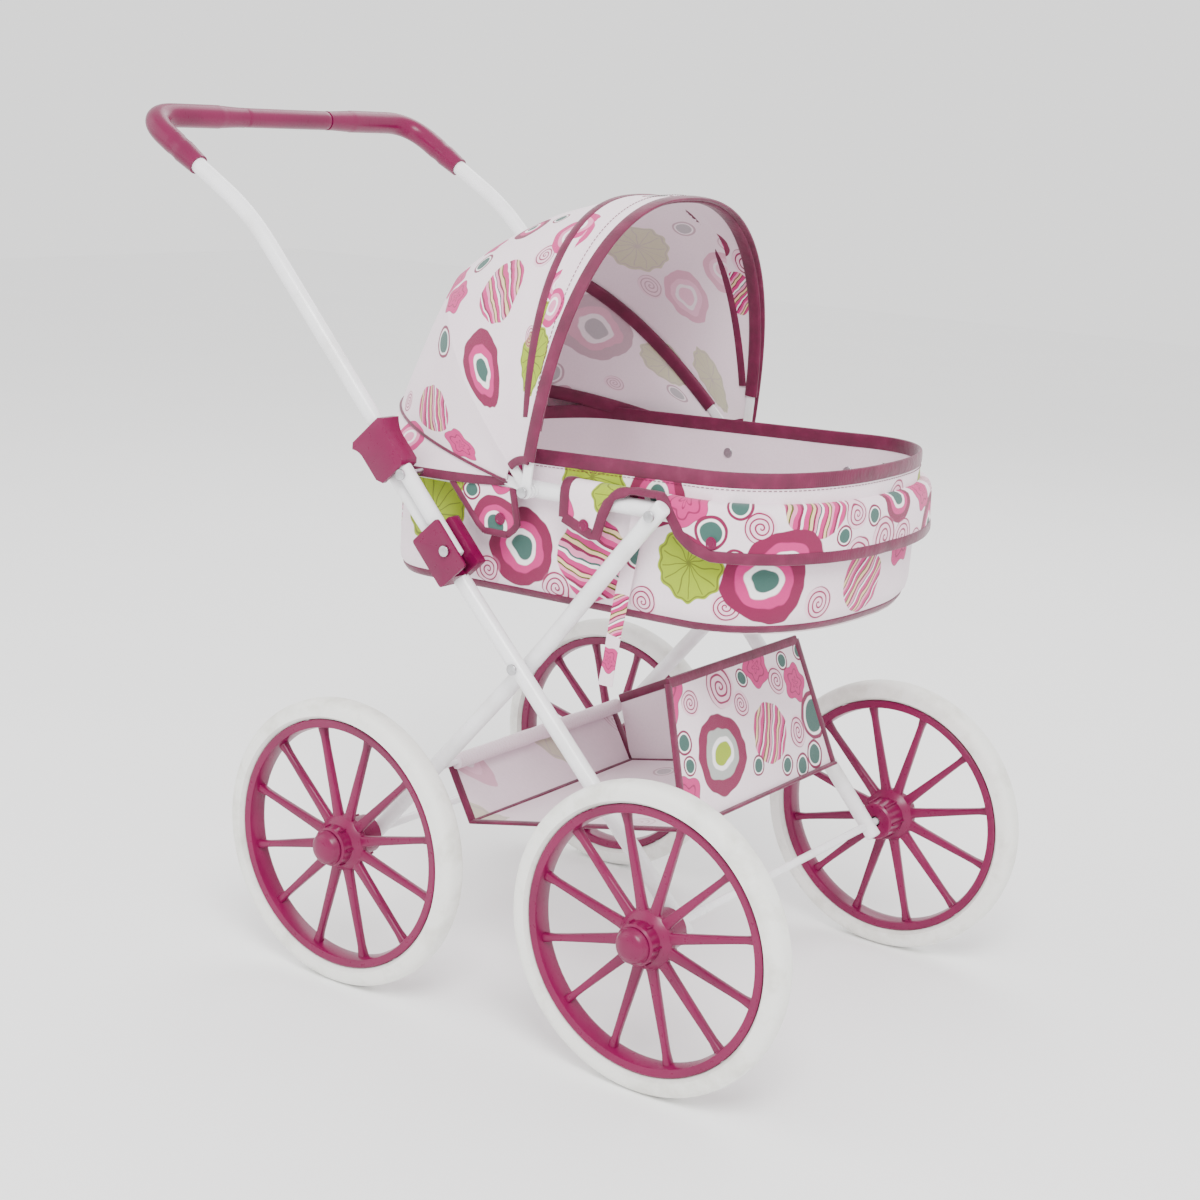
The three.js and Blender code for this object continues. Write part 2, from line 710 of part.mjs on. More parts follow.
const boardZ = floorZ + clothThickness + gap;
const boardOutside = floorOutside - boardInset;
const boardOutline = new THREE.Shape(
  planRing(boardOutside, 0).map((point) => new THREE.Vector2(point.x, point.y)),
);
const board = new THREE.ExtrudeGeometry(boardOutline, { depth: boardThickness, bevelEnabled: false });
add("base_board", geometryOf(solid(board.translate(0, 0, boardZ))), "#d8c9ba", 0.85, 0);

// A flap that folds over the rim tube and hangs outside it, between two shares of the turn.
const flapOutside = tubeRadius + gap;
function flap(from, to, columns, drop) {
  const grid = (outside) => {
    const top = [];
    const bottom = [];
    for (let i = 0; i <= columns; i++) {
      const share = i / columns;
      const [x, y] = planPoint(from + (to - from) * share, outside);
      top.push(new THREE.Vector3(x, y, carrycotRimZ + apronRise));
      bottom.push(new THREE.Vector3(x, y, carrycotRimZ - drop(share)));
    }
    return [top, bottom];
  };
  return solid(slab(grid(flapOutside), grid(flapOutside + clothThickness * 0.6)));
}

// The share of the turn at which the right side's outline passes an X between the bends.
function shareAt(x) {
  let low = 0.05;
  let high = 0.45;
  for (let i = 0; i < 40; i++) {
    const share = mid(low, high);
    if (planPoint(share, flapOutside)[0] < x) low = share;
    else high = share;
  }
  return low;
}

// The front apron hangs round the front of the rim, ahead of the rear legs' tops.
const apronStart = shareAt(rimPivotX + tubeRadius + 12);
const apronDropAt = (share) => apronDrop * (0.86 + 0.14 * Math.sin(Math.PI * share));
addCloth("front_apron", geometryOf(flap(apronStart, 1 - apronStart, 24, apronDropAt)));

// ---- hood ----
// Levels of the hood, from the inside out: each bow, then the cloth that it carries.
const levelStep = bowThickness + clothClearance + panelThickness + gap;
const bowLevel = (level) => level * levelStep;
const panelLevel = (level) => level * levelStep + bowThickness + clothClearance;

// A point of the hood, so far outside the innermost bow: a bow angle and a place on the arch.
function hoodPoint(angle, arch, outside) {
  const bend = 2 / hoodPower;
  const radius = (hoodReach + outside) * Math.abs(Math.sin(arch)) ** bend;
  const y = (hoodSideY + outside) * Math.sign(Math.cos(arch)) * Math.abs(Math.cos(arch)) ** bend;
  const turn = THREE.MathUtils.degToRad(angle);
  return new THREE.Vector3(
    hoodPivot[0] + radius * Math.cos(turn),
    y,
    hoodPivot[1] + radius * Math.sin(turn),
  );
}

// Places on the arch, shared by bows and cloth so that their facets lie side by side.
const archSteps = 20;
const placeAt = (radius) => Math.asin((radius / hoodReach) ** (hoodPower / 2));
const spread = Array.from({ length: archSteps - 1 }, (_, i) => ((i + 1) * Math.PI) / archSteps);
const footPlaces = [placeAt(1.5), placeAt(24)];
const allPlaces = [...footPlaces, ...spread, ...footPlaces.toReversed().map((place) => Math.PI - place)];
const archPlaces = (start) => {
  const first = placeAt(start) - 1e-6;
  return allPlaces.filter((place) => place > first && place < Math.PI - first);
};

function hoodPanel(level, from, to, start) {
  const columns = archPlaces(start);
  const rows = Math.max(2, Math.round((to - from) / 9));
  const grid = (outside) =>
    Array.from({ length: rows + 1 }, (_, row) =>
      columns.map((arch) => hoodPoint(from + ((to - from) * row) / rows, arch, outside)),
    );
  const base = panelLevel(level);
  return geometryOf(solid(slab(grid(base), grid(base + panelThickness))));
}

// A flat bar bent to the arch, with a round foot at each hood pivot.
function hoodBow(level, angle) {
  const base = bowLevel(level);
  const turn = THREE.MathUtils.degToRad(angle);
  const across = new THREE.Vector3(-Math.sin(turn), 0, Math.cos(turn)).multiplyScalar(bowWidth / 2);
  const grid = (outside) =>
    [-1, 1].map((way) =>
      archPlaces(1.5).map((arch) => hoodPoint(angle, arch, outside).addScaledVector(across, way)),
    );
  const strip = solid(slab(grid(base), grid(base + bowThickness)));
  const feet = Object.values(sides).map((side) =>
    solid(bar(hoodPivot, side * (hoodSideY + base), side * (hoodSideY + base + bowThickness), 5.5)),
  );
  const holes = Object.values(sides).map((side) => crossHole(hoodPivot, side));
  return geometryOf(cut(join(strip, ...feet), ...holes));
}

const levels = { rear: 0, middle: 1, front: 2 };
for (const [name, level] of Object.entries(levels)) {
  addPaint(`hood_bow_${name}`, hoodBow(level, bowAngles[name]));
}
addCloth("hood_panel_rear", hoodPanel(levels.rear, panelSplits.rear - 2, 171, 56));
addCloth("hood_panel_middle", hoodPanel(levels.middle, panelSplits.middle - 2, panelSplits.rear, 24));
addCloth("hood_panel_front", hoodPanel(levels.front, bowAngles.front - 2, panelSplits.middle, 24));

// A crescent of doubled cloth inside the front edge, behind the front bow, deepest over the crown.
function facing() {
  const columns = archPlaces(56);
  const base = bowLevel(levels.front) + gap;
  const rows = 3;
  const degrees = (run, arch) =>
    THREE.MathUtils.radToDeg(run / (hoodReach * Math.sin(arch) ** (2 / hoodPower)));
  const grid = (outside) =>
    Array.from({ length: rows + 1 }, (_, row) =>
      columns.map((arch, i) => {
        const depth = 0.12 + 0.88 * Math.sin((Math.PI * i) / (columns.length - 1));
        const run = bowWidth / 2 + 1 + (facingReach * depth * row) / rows;
        return hoodPoint(bowAngles.front + degrees(run, arch), arch, outside);
      }),
    );
  return geometryOf(solid(slab(grid(base), grid(base + panelThickness))));
}
addCloth("hood_facing", facing());

for (const [hand, side] of Object.entries(sides)) {
  const inner = side * (carrycotRimY - tubeRadius - gap);
  const stack = hoodSideY + bowLevel(3);
  addSteel(`hood_bolt_${hand}`, geometryOf(bolt(hoodPivot, inner, side * stack, [true, true])));
  const outer = side * (rearLegTopY + tubeRadius + bowClearance);
  addSteel(`rim_bolt_${hand}`, geometryOf(bolt(rimPivot, inner, outer)));
}

// ---- basket ----
// A flat sheet between four corners, thickened along its own normal.
function sheet(corners, thickness) {
  const normal = corners[1].clone().sub(corners[0]).cross(corners[3].clone().sub(corners[0]));
  normal.setLength(thickness / 2);
  const lift = (way) => corners.map((corner) => corner.clone().addScaledVector(normal, way));
  const rows = ([a, b, c, d]) => [[a, b], [d, c]];
  return solid(slab(rows(lift(1)), rows(lift(-1))));
}

const sleeveFoot = [basketRodPlace[0] + 2, basketRodPlace[1] - basketSleeveRadius + 1];
const basket = join(
  sheet(
    [
      at(basketFloorRear, -basketHalf),
      at(basketFloorFront, -basketHalf),
      at(basketFloorFront, basketHalf),
      at(basketFloorRear, basketHalf),
    ],
    clothThickness,
  ),
  sheet(
    [
      at(sleeveFoot, -basketHalf),
      at(basketFloorRear, -basketHalf),
      at(basketFloorRear, basketHalf),
      at(sleeveFoot, basketHalf),
    ],
    clothThickness,
  ),
  sheet(
    [
      at(basketFloorFront, -basketHalf),
      at(basketFrontTop, -basketTopHalf),
      at(basketFrontTop, basketTopHalf),
      at(basketFloorFront, basketHalf),
    ],
    clothThickness,
  ),
  sheet(
    [
      at(basketFloorRear, basketHalf),
      at(basketFloorFront, basketHalf),
      at(basketFrontTop, basketTopHalf),
      at(sleeveFoot, basketHalf),
    ],
    clothThickness,
  ),
  solid(bar(basketRodPlace, -basketHalf, basketHalf, basketSleeveRadius, 14)),
);
const rodSpace = hole(basketRodPlace, -basketHalf - 1, basketHalf + 1, basketRodRadius + 0.4);
addCloth("basket", geometryOf(cut(basket, rodSpace)));

// A printed tie that hangs from the carrycot's rim on each side.
const tieTop = [rimPivotX - 26, carrycotRimZ - tubeRadius - gap];
const tieFoot = [222, 296];
for (const [hand, side] of Object.entries(sides)) {
  const y = side * (carrycotRimY - 1);
  const outer = side * (carrycotRimY - 1 + clothThickness * 0.6);
  const half = strapWidth / 2;
  const strip = (depth) => [
    [at([tieTop[0] - half, tieTop[1]], depth), at([tieTop[0] + half, tieTop[1]], depth)],
    [at([tieFoot[0] - half, tieFoot[1]], depth), at([tieFoot[0] + half, tieFoot[1]], depth)],
  ];
  addCloth(`tie_${hand}`, geometryOf(solid(slab(strip(y), strip(outer)))));
}

// The origin is on the ground, under the middle of the whole pram.
const box = new THREE.Box3().setFromObject(model);
const frame = new THREE.Group();
model.position.set(-mid(box.min.x, box.max.x), 0, -box.min.z);
frame.add(model);
export default frame;
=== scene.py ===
"""Doll pram: the looks of a folding pram with a printed carrycot, hood and basket."""

import json
import math
import random

import bmesh
import bpy
import numpy as np
from bpy.props import FloatProperty, FloatVectorProperty, IntProperty, PointerProperty
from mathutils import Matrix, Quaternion, Vector, noise


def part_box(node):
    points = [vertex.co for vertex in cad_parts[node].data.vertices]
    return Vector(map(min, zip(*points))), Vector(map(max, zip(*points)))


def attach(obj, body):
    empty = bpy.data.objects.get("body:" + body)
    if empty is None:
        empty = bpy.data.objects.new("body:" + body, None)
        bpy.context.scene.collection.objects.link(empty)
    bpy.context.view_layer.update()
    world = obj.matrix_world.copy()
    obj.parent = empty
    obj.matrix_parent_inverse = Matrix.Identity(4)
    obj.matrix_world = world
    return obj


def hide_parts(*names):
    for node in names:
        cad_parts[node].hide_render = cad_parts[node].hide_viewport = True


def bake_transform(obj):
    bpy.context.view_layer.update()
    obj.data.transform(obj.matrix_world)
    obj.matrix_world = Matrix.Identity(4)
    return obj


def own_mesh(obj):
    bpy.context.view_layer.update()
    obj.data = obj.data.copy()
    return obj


bl_info = {
    "name": "Doll pram",
    "version": (1, 0, 0),
    "blender": (4, 5, 0),
    "location": "View3D > Sidebar > Doll Pram",
    "description": "Builds a folding doll pram round its packed frame",
    "category": "Add Mesh",
}

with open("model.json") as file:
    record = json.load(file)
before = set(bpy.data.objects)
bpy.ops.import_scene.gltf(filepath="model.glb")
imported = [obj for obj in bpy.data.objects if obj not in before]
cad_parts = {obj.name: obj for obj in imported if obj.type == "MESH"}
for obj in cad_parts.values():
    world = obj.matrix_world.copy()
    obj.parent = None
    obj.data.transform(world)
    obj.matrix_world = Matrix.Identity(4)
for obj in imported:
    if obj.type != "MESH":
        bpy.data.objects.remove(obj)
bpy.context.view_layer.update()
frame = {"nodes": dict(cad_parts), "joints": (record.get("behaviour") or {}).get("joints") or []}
JOINTS = {joint["name"]: joint for joint in frame["joints"]}
SIDES = {"right": -1, "left": 1}


def pivot(joint):
    """Where a hinge turns, in the frame."""
    return Vector(JOINTS[joint]["pos_m"])


LEG_PIVOT = pivot("rear_frame_fold")
RIM_PIVOT = pivot("carrycot_tilt")
HOOD_PIVOT = pivot("hood_middle_fold")


# ---- sizes and colours that can be changed ----


def length(label, description, default):
    """A length in metres for the sidebar."""
    return FloatProperty(
        name=label, description=description, default=default, min=0, unit="LENGTH", precision=4
    )


def colour(label, description, default):
    """A colour for the sidebar, stored as linear light."""
    return FloatVectorProperty(
        name=label, description=description, default=linear(*default), size=3, min=0, max=1, subtype="COLOR"
    )


def linear(red, green, blue):
    """A display colour, each channel to 255, as linear light."""
    channels = []
    for channel in (red, green, blue):
        share = channel / 255
        channels.append(share / 12.92 if share <= 0.04045 else ((share + 0.055) / 1.055) ** 2.4)
    return tuple(channels)


class PramSizes(bpy.types.PropertyGroup):
    """Sizes of the soft parts and trim."""

    cloth: length("Cloth", "Thickness of the cloth", 0.0011)
    tape_width: length("Tape Width", "Width of the binding tape over an edge", 0.0085)
    tape_thickness: length("Tape Thickness", "Thickness of the folded tape", 0.0034)
    hood_sag: length("Hood Sag", "How far the hood sinks between two bows", 0.006)
    crease: length("Crease Depth", "Depth of the creases in the carrycot's walls", 0.0022)
    spokes: IntProperty(name="Spokes", description="Spokes in each wheel", default=12, min=3)


class PramColours(bpy.types.PropertyGroup):
    """Colours of the cloth, plastic, tube and tyres."""

    ground: colour("Cloth Ground", "Ground colour of the print", (246, 230, 238))
    tape: colour("Tape", "Binding tape", (98, 0, 52))
    plastic: colour("Plastic", "Moulded plastic", (114, 0, 62))
    tube: colour("Tube", "Painted tube", (242, 242, 244))
    tyre: colour("Tyre", "Tyres", (236, 236, 231))
    floor: colour("Floor", "Studio floor", (250, 250, 250))


# ---- mesh building ----


def new_piece(name, points, faces, materials, slots=None, uvs=None, sharp=35):
    """A smooth-shaded mesh object; uvs holds one pair for each corner of each face."""
    mesh = bpy.data.meshes.new(name)
    mesh.from_pydata([tuple(point) for point in points], [], faces)
    for material in materials:
        mesh.materials.append(material)
    if slots is not None:
        mesh.polygons.foreach_set("material_index", slots)
    layer = mesh.uv_layers.new(name="Cloth")
    if uvs is not None:
        layer.data.foreach_set("uv", np.array(uvs, np.float32).ravel())
    mesh.shade_smooth()
    mesh.set_sharp_from_angle(angle=math.radians(sharp))
    piece = bpy.data.objects.new(name, mesh)
    bpy.context.scene.collection.objects.link(piece)
    return piece


def settle(piece, body, slot, *nodes):
    """Lets the piece ride on its body and stand for its nodes."""
    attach(piece, body)
    if nodes:
        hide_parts(*nodes)
    return piece


def joined(shapes):
    """Several (points, faces) shapes as one."""
    points, faces = [], []
    for more_points, more_faces in shapes:
        start = len(points)
        points += list(more_points)
        faces += [tuple(start + corner for corner in face) for face in more_faces]
    return points, faces


def tangents_of(line, closed):
    """Unit tangents along a line of points."""
    line = np.asarray(line, float)
    if closed:
        ahead, behind = np.roll(line, -1, 0), np.roll(line, 1, 0)
    else:
        ahead = np.vstack([line[1:], line[-1:]])
        behind = np.vstack([line[:1], line[:-1]])
    run = ahead - behind
    return run / np.linalg.norm(run, axis=1)[:, None]


def swept(line, radii, sides=20, ups=None, closed=False, square=1.0):
    """A section carried along a line. radii is one radius, or (up, side) half sizes for each point;
    ups fixes which way up is, and square below 1 makes the section boxier."""
    line = np.asarray([tuple(point) for point in line], float)
    count = len(line)
    along = tangents_of(line, closed)
    if np.isscalar(radii):
        radii = [(radii, radii)] * count
    radii = [(r, r) if np.isscalar(r) else r for r in radii]
    if ups is None:
        up = np.cross(along[0], (0.31, 0.42, 0.85))
        ups = []
        for step in along:
            up = up - step * (up @ step)
            up = up / np.linalg.norm(up)
            ups.append(up)
    points = []
    for place, step, up, (high, wide) in zip(line, along, ups, radii):
        up = np.asarray(up, float)
        up = up - step * (up @ step)
        up = up / max(np.linalg.norm(up), 1e-9)
        side = np.cross(step, up)
        for turn in np.linspace(0, 2 * math.pi, sides, endpoint=False):
            c, s = math.cos(turn), math.sin(turn)
            c, s = math.copysign(abs(c) ** square, c), math.copysign(abs(s) ** square, s)
            points.append(place + up * (high * c) + side * (wide * s))
    faces = []
    for ring in range(count if closed else count - 1):
        here, there = ring * sides, ((ring + 1) % count) * sides
        for i in range(sides):
            j = (i + 1) % sides
            faces.append((here + i, here + j, there + j, there + i))
    if not closed:
        faces.append(tuple(range(sides))[::-1])
        faces.append(tuple((count - 1) * sides + i for i in range(sides)))
    return points, faces


def rounded_ends(line, radius):
    """The line and its radii with a small round at each end of the tube."""
    line = [Vector(point) for point in line]
    first = (line[0] - line[1]).normalized()
    last = (line[-1] - line[-2]).normalized()
    soft = min(radius * 0.35, 0.0018)
    start = [
        (line[0] - first * soft * (1 - math.cos(a)), radius - soft * (1 - math.sin(a))) for a in (0, 0.6, 1.1)
    ]
    end = [
        (line[-1] - last * soft * (1 - math.cos(a)), radius - soft * (1 - math.sin(a))) for a in (1.1, 0.6, 0)
    ]
    body = [(point, radius) for point in line[1:-1]]
    pairs = start + body + end
    return [pair[0] for pair in pairs], [pair[1] for pair in pairs]


def turned(centre, profile, sides=64, side=1):
    """A body turned about the Y axis through centre; the profile is (radius, y) pairs, y growing outward."""
    points, faces = [], []
    rings = []
    for radius, y in profile:
        if radius < 1e-6:
            points.append((centre[0], side * y, centre[2]))
            rings.append([len(points) - 1])
            continue
        ring = []
        for turn in np.linspace(0, 2 * math.pi, sides, endpoint=False):
            ring.append(len(points))
            points.append(
                (centre[0] + radius * math.cos(turn), side * y, centre[2] + radius * math.sin(turn))
            )
        rings.append(ring)
    for a, b in zip(rings, rings[1:]):
        for i in range(sides):
            j = (i + 1) % sides
            corners = [a[i % len(a)], a[j % len(a)], b[j % len(b)], b[i % len(b)]]
            face = tuple(dict.fromkeys(corners))
            if len(face) > 2:
                faces.append(face if side < 0 else face[::-1])
    return points, faces


def facing_out(piece):
    """Turns every face of a closed piece outward."""
    work = bmesh.new()
    work.from_mesh(piece.data)
    bmesh.ops.recalc_face_normals(work, faces=work.faces)
    work.to_mesh(piece.data)
    work.free()
    return piece


def softened(name, node, width, material, body, slot, segments=3):
    """A copy of a hard node with its edges rounded, which stands for it."""
    mesh = frame["nodes"][node].data.copy()
    work = bmesh.new()
    work.from_mesh(mesh)
    bmesh.ops.remove_doubles(work, verts=work.verts, dist=2e-5)
    bmesh.ops.dissolve_limit(work, angle_limit=math.radians(2), verts=work.verts, edges=work.edges)
    edges = [e for e in work.edges if e.is_manifold and e.calc_face_angle(0) > math.radians(28)]
    bmesh.ops.bevel(
        work, geom=edges, offset=width, offset_type="WIDTH", segments=segments, profile=0.5,
        affect="EDGES", clamp_overlap=True,
    )
    bmesh.ops.triangulate(work, faces=work.faces)
    work.to_mesh(mesh)
    work.free()
    mesh.materials.clear()
    mesh.materials.append(material)
    mesh.shade_smooth()
    mesh.set_sharp_from_angle(angle=math.radians(40))
    piece = bpy.data.objects.new(name, mesh)
    bpy.context.scene.collection.objects.link(piece)
    return settle(piece, body, slot, node)


class Cloth:
    """A sheet of cloth as a grid of points, grid[row][column], with the side that shows outward.
    The grid is the taut form, and its unrolled size is the size that the cloth is cut to."""

    def __init__(self, grid, centre, uv, closed=False):
        self.points = np.array([[tuple(point) for point in row] for row in grid], float)
        self.closed = closed
        self.uv = uv
        across = np.gradient(self.points, axis=1)
        if closed:
            across = (np.roll(self.points, -1, 1) - np.roll(self.points, 1, 1)) / 2
        down = np.gradient(self.points, axis=0)
        normals = np.cross(across, down)
        normals /= np.maximum(np.linalg.norm(normals, axis=2), 1e-12)[:, :, None]
        outward = self.points - np.array(tuple(centre))
        self.flipped = float(np.sum(normals * outward)) < 0
        self.normals = -normals if self.flipped else normals
        self.cut = self.measured()

    def creased(self, depth):
        """Moves each point along its normal by depth(row, column, point)."""
        rows, columns = self.points.shape[:2]
        for r in range(rows):
            for c in range(columns):
                self.points[r, c] += self.normals[r, c] * depth(r, c, self.points[r, c])
        return self

    def piece(self, name, thickness, outer, inner):
        """The sheet as a closed piece, with outer on the side that shows."""
        rows, columns = self.points.shape[:2]
        inside = self.points - self.normals * thickness
        points = [*self.points.reshape(-1, 3), *inside.reshape(-1, 3)]
        total = rows * columns
        faces, slots, uvs = [], [], []

        def add(corners, side_of_cloth):
            face = [s * total + r * columns + c % columns for s, r, c in corners]
            pairs = [self.uv(r, c) for _, r, c in corners]
            if self.flipped:
                face, pairs = face[::-1], pairs[::-1]
            faces.append(tuple(face))
            slots.append(side_of_cloth)
            uvs.extend(pairs)

        spans = columns if self.closed else columns - 1
        for r in range(rows - 1):
            for c in range(spans):
                add([(0, r, c), (0, r, c + 1), (0, r + 1, c + 1), (0, r + 1, c)], 0)
                add([(1, r, c), (1, r + 1, c), (1, r + 1, c + 1), (1, r, c + 1)], 1)
        for c in range(spans):
            last = rows - 1
            add([(0, 0, c), (1, 0, c), (1, 0, c + 1), (0, 0, c + 1)], 0)
            add([(0, last, c), (0, last, c + 1), (1, last, c + 1), (1, last, c)], 0)
        if not self.closed:
            for r in range(rows - 1):
                last = columns - 1
                add([(0, r, 0), (0, r + 1, 0), (1, r + 1, 0), (1, r, 0)], 0)
                add([(0, r, last), (1, r, last), (1, r + 1, last), (0, r + 1, last)], 0)
        return new_piece(name, points, faces, [outer, inner], slots, uvs, sharp=80)

    def measured(self):
        """The width, length and area of the sheet as it lies now."""
        across = np.linalg.norm(np.diff(self.points, axis=1), axis=2).sum(1).max()
        if self.closed:
            across += np.linalg.norm(self.points[:, 0] - self.points[:, -1], axis=1).max()
        down = np.linalg.norm(np.diff(self.points, axis=0), axis=2).sum(0).max()
        rings = np.concatenate([self.points, self.points[:, :1]], 1) if self.closed else self.points
        first, second = rings[1:, 1:] - rings[:-1, :-1], rings[1:, :-1] - rings[:-1, 1:]
        area = float(np.linalg.norm(np.cross(first, second), axis=2).sum() / 2)
        return float(across), float(down), area

    def cut_flat(self, across, down):
        """For a piece that lies in a plane: its cut is the rectangle round it, along two axes."""
        size = np.ptp(self.points.reshape(-1, 3), axis=0)
        self.cut = (float(size[across]), float(size[down]), self.cut[2])
        return self

    def edge(self, row=None, column=None):
        """The points and normals along a row or a column."""
        if row is not None:
            return self.points[row], self.normals[row], self.closed
        return self.points[:, column], self.normals[:, column], False


def declare(cloth):
    """Unpacks the size of the sheet of cloth the piece was cut from, before it sagged and creased, and does
    nothing more with it.
    """
    wide, long, area = cloth.cut


def taped(name, edges, sizes, finishes, wider=0.0, lift=0.0):
    """Binding tape over cloth edges, each (points, normals, closed), and how much wider it is than usual."""
    shapes = []
    for points, normals, closed in edges:
        middle = np.asarray(points) - np.asarray(normals) * (sizes.cloth / 2 - lift)
        half = (sizes.tape_thickness / 2, (sizes.tape_width + wider) / 2)
        shapes.append(swept(middle, [half] * len(middle), 12, normals, closed, square=0.75))
    return new_piece(name, *joined(shapes), [finishes["tape"]])


def stitches(line, normals, lift, material, name, every=0.004):
    """Short raised stitches along a line."""
    line = np.asarray(line, float)
    steps = np.r_[0, np.cumsum(np.linalg.norm(np.diff(line, axis=0), axis=1))]
    shapes = []
    for start in np.arange(0, steps[-1] - every, every):
        spots, ups = [], []
        for share in (0, 0.31, 0.62):
            at = start + every * share
            spot = [np.interp(at, steps, line[:, k]) for k in range(3)]
            up = np.array([np.interp(at, steps, np.asarray(normals)[:, k]) for k in range(3)])
            rise = lift + (0.00025 if share == 0.31 else 0)
            spots.append(np.array(spot) + up * rise)
            ups.append(up)
        shapes.append(swept(spots, 0.0003, 6, ups))
    return new_piece(name, *joined(shapes), [material])


# ---- finishes ----


class Sketch:
    """Makes a material's nodes by name, wiring each value or socket that it is given."""

    def __init__(self, tree):
        self.tree = tree

    def node(self, kind, values=(), **settings):
        made = self.tree.nodes.new(kind)
        for key, value in settings.items():
            setattr(made, key, value)
        for key, value in dict(values).items():
            self.put(made.inputs[key], value)
        return made

    def put(self, socket, value):
        if isinstance(value, bpy.types.NodeSocket):
            self.tree.links.new(value, socket)
        else:
            socket.default_value = value

    def math(self, operation, *values, clamp=False):
        made = self.node("ShaderNodeMath", dict(enumerate(values)), operation=operation, use_clamp=clamp)
        return made.outputs[0]

    def times(self, *values):
        return self.math("MULTIPLY", *values)

    def vector(self, operation, values):
        return self.node("ShaderNodeVectorMath", values, operation=operation).outputs[0]

    def mix(self, share, under, over, blend="MIX"):
        made = self.node("ShaderNodeMix", {0: share, 6: under, 7: over}, data_type="RGBA", blend_type=blend)
        return made.outputs[2]

    def noise(self, place, scale, detail=3, roughness=0.55):
        made = self.node(
            "ShaderNodeTexNoise", {"Vector": place, "Scale": scale, "Detail": detail, "Roughness": roughness}
        )
        return made.outputs["Fac"]

    def steps(self, share, stops, interpolation="LINEAR"):
        """A colour ramp from (place, colour) pairs."""
        made = self.node("ShaderNodeValToRGB", {0: share})
        ramp = made.color_ramp
        ramp.interpolation = interpolation
        while len(ramp.elements) < len(stops):
            ramp.elements.new(0.5)
        for element, (place, shade) in zip(ramp.elements, stops):
            element.position = place
            element.color = (*shade[:3], 1)
        return made.outputs[0]

    def below(self, value, limit, soft):
        """1 under the limit, 0 over it, with a soft edge."""
        made = self.node(
            "ShaderNodeMapRange", {0: value, 1: limit, 2: limit + soft, 3: 1.0, 4: 0.0},
            interpolation_type="SMOOTHSTEP"
        )
        return made.outputs[0]

    def bump(self, height, strength, distance, under=None):
        values = {"Height": height, "Strength": strength, "Distance": distance}
        if under is not None:
            values["Normal"] = under
        return self.node("ShaderNodeBump", values).outputs[0]


def finish(name, build, **constants):
    """A material from a build function that returns the Base Color, Roughness and Normal to use."""
    material = bpy.data.materials.new(name)
    material.use_nodes = True
    tree = material.node_tree
    shader = next(node for node in tree.nodes if node.type == "BSDF_PRINCIPLED")
    sketch = Sketch(tree)
    for key, value in build(sketch).items():
        sketch.put(shader.inputs[key], value)
    for key, value in constants.items():
        shader.inputs[key.replace("_", " ")].default_value = value
    return material


def rgba(shade):
    return (*shade[:3], 1)


def object_place(sketch):
    return sketch.node("ShaderNodeTexCoord").outputs["Object"]


def painted_tube(shade):
    """Gloss white paint with a slight ripple and a little grime."""

    def build(sketch):
        place = object_place(sketch)
        grime = sketch.noise(place, 22, 5, 0.6)
        fine = sketch.noise(place, 650, 2)
        dull = tuple(c * f for c, f in zip(shade, (0.86, 0.85, 0.83)))
        tint = sketch.steps(grime, [(0.30, dull), (0.52, shade), (1, shade)])
        rough = sketch.node("ShaderNodeMapRange", {0: grime, 3: 0.34, 4: 0.22}).outputs[0]
        ripple = sketch.bump(sketch.noise(place, 90, 2), 0.12, 0.0006)
        return {"Base Color": tint, "Roughness": rough, "Normal": sketch.bump(fine, 0.06, 0.0002, ripple)}

    return finish("white_paint", build, Coat_Weight=0.35, Coat_Roughness=0.12)


def moulded_plastic(name, shade, deep=0.72):
    """Moulded plastic with flow marks, faint scratches and a fine spark texture."""

    def build(sketch):
        place = object_place(sketch)
        flow = sketch.noise(place, 14, 4, 0.5)
        dark = tuple(c * deep for c in shade)
        light = tuple(min(1, c * 1.12 + 0.004) for c in shade)
        tint = sketch.steps(flow, [(0.28, dark), (0.55, shade), (0.85, light)])
        stretched = sketch.node("ShaderNodeMapping", {0: place, 3: (30, 260, 30)}).outputs[0]
        scratch = sketch.noise(stretched, 6, 6, 0.7)
        rough = sketch.node("ShaderNodeMapRange", {0: scratch, 1: 0.35, 2: 0.75, 3: 0.26, 4: 0.42}).outputs[0]
        grain = sketch.bump(sketch.noise(place, 1400, 2), 0.10, 0.0002)
        return {"Base Color": tint, "Roughness": rough, "Normal": sketch.bump(flow, 0.08, 0.0008, grain)}

    return finish(name, build, Coat_Weight=0.08, Coat_Roughness=0.2, Specular_IOR_Level=0.35)


def foam_tyre(shade):
    """Off-white foam rubber, with a fine skin, a few pits and dust where it rolls."""

    def build(sketch):
        place = object_place(sketch)
        dust = sketch.noise(place, 30, 5, 0.62)
        grey = tuple(c * f for c, f in zip(shade, (0.80, 0.79, 0.76)))
        tint = sketch.steps(dust, [(0.30, grey), (0.50, shade), (1, shade)])
        pits = sketch.node("ShaderNodeTexVoronoi", {"Vector": place, "Scale": 420.0}).outputs["Distance"]
        skin = sketch.bump(sketch.below(pits, 0.16, 0.12), 0.12, 0.0003)
        rough = sketch.node("ShaderNodeMapRange", {0: dust, 3: 0.72, 4: 0.58}).outputs[0]
        return {
            "Base Color": tint, "Roughness": rough,
            "Normal": sketch.bump(sketch.noise(place, 700, 3), 0.15, 0.0003, skin)
        }

    return finish("tyre_foam", build, Subsurface_Weight=0.06, Subsurface_Radius=(0.01, 0.01, 0.008))


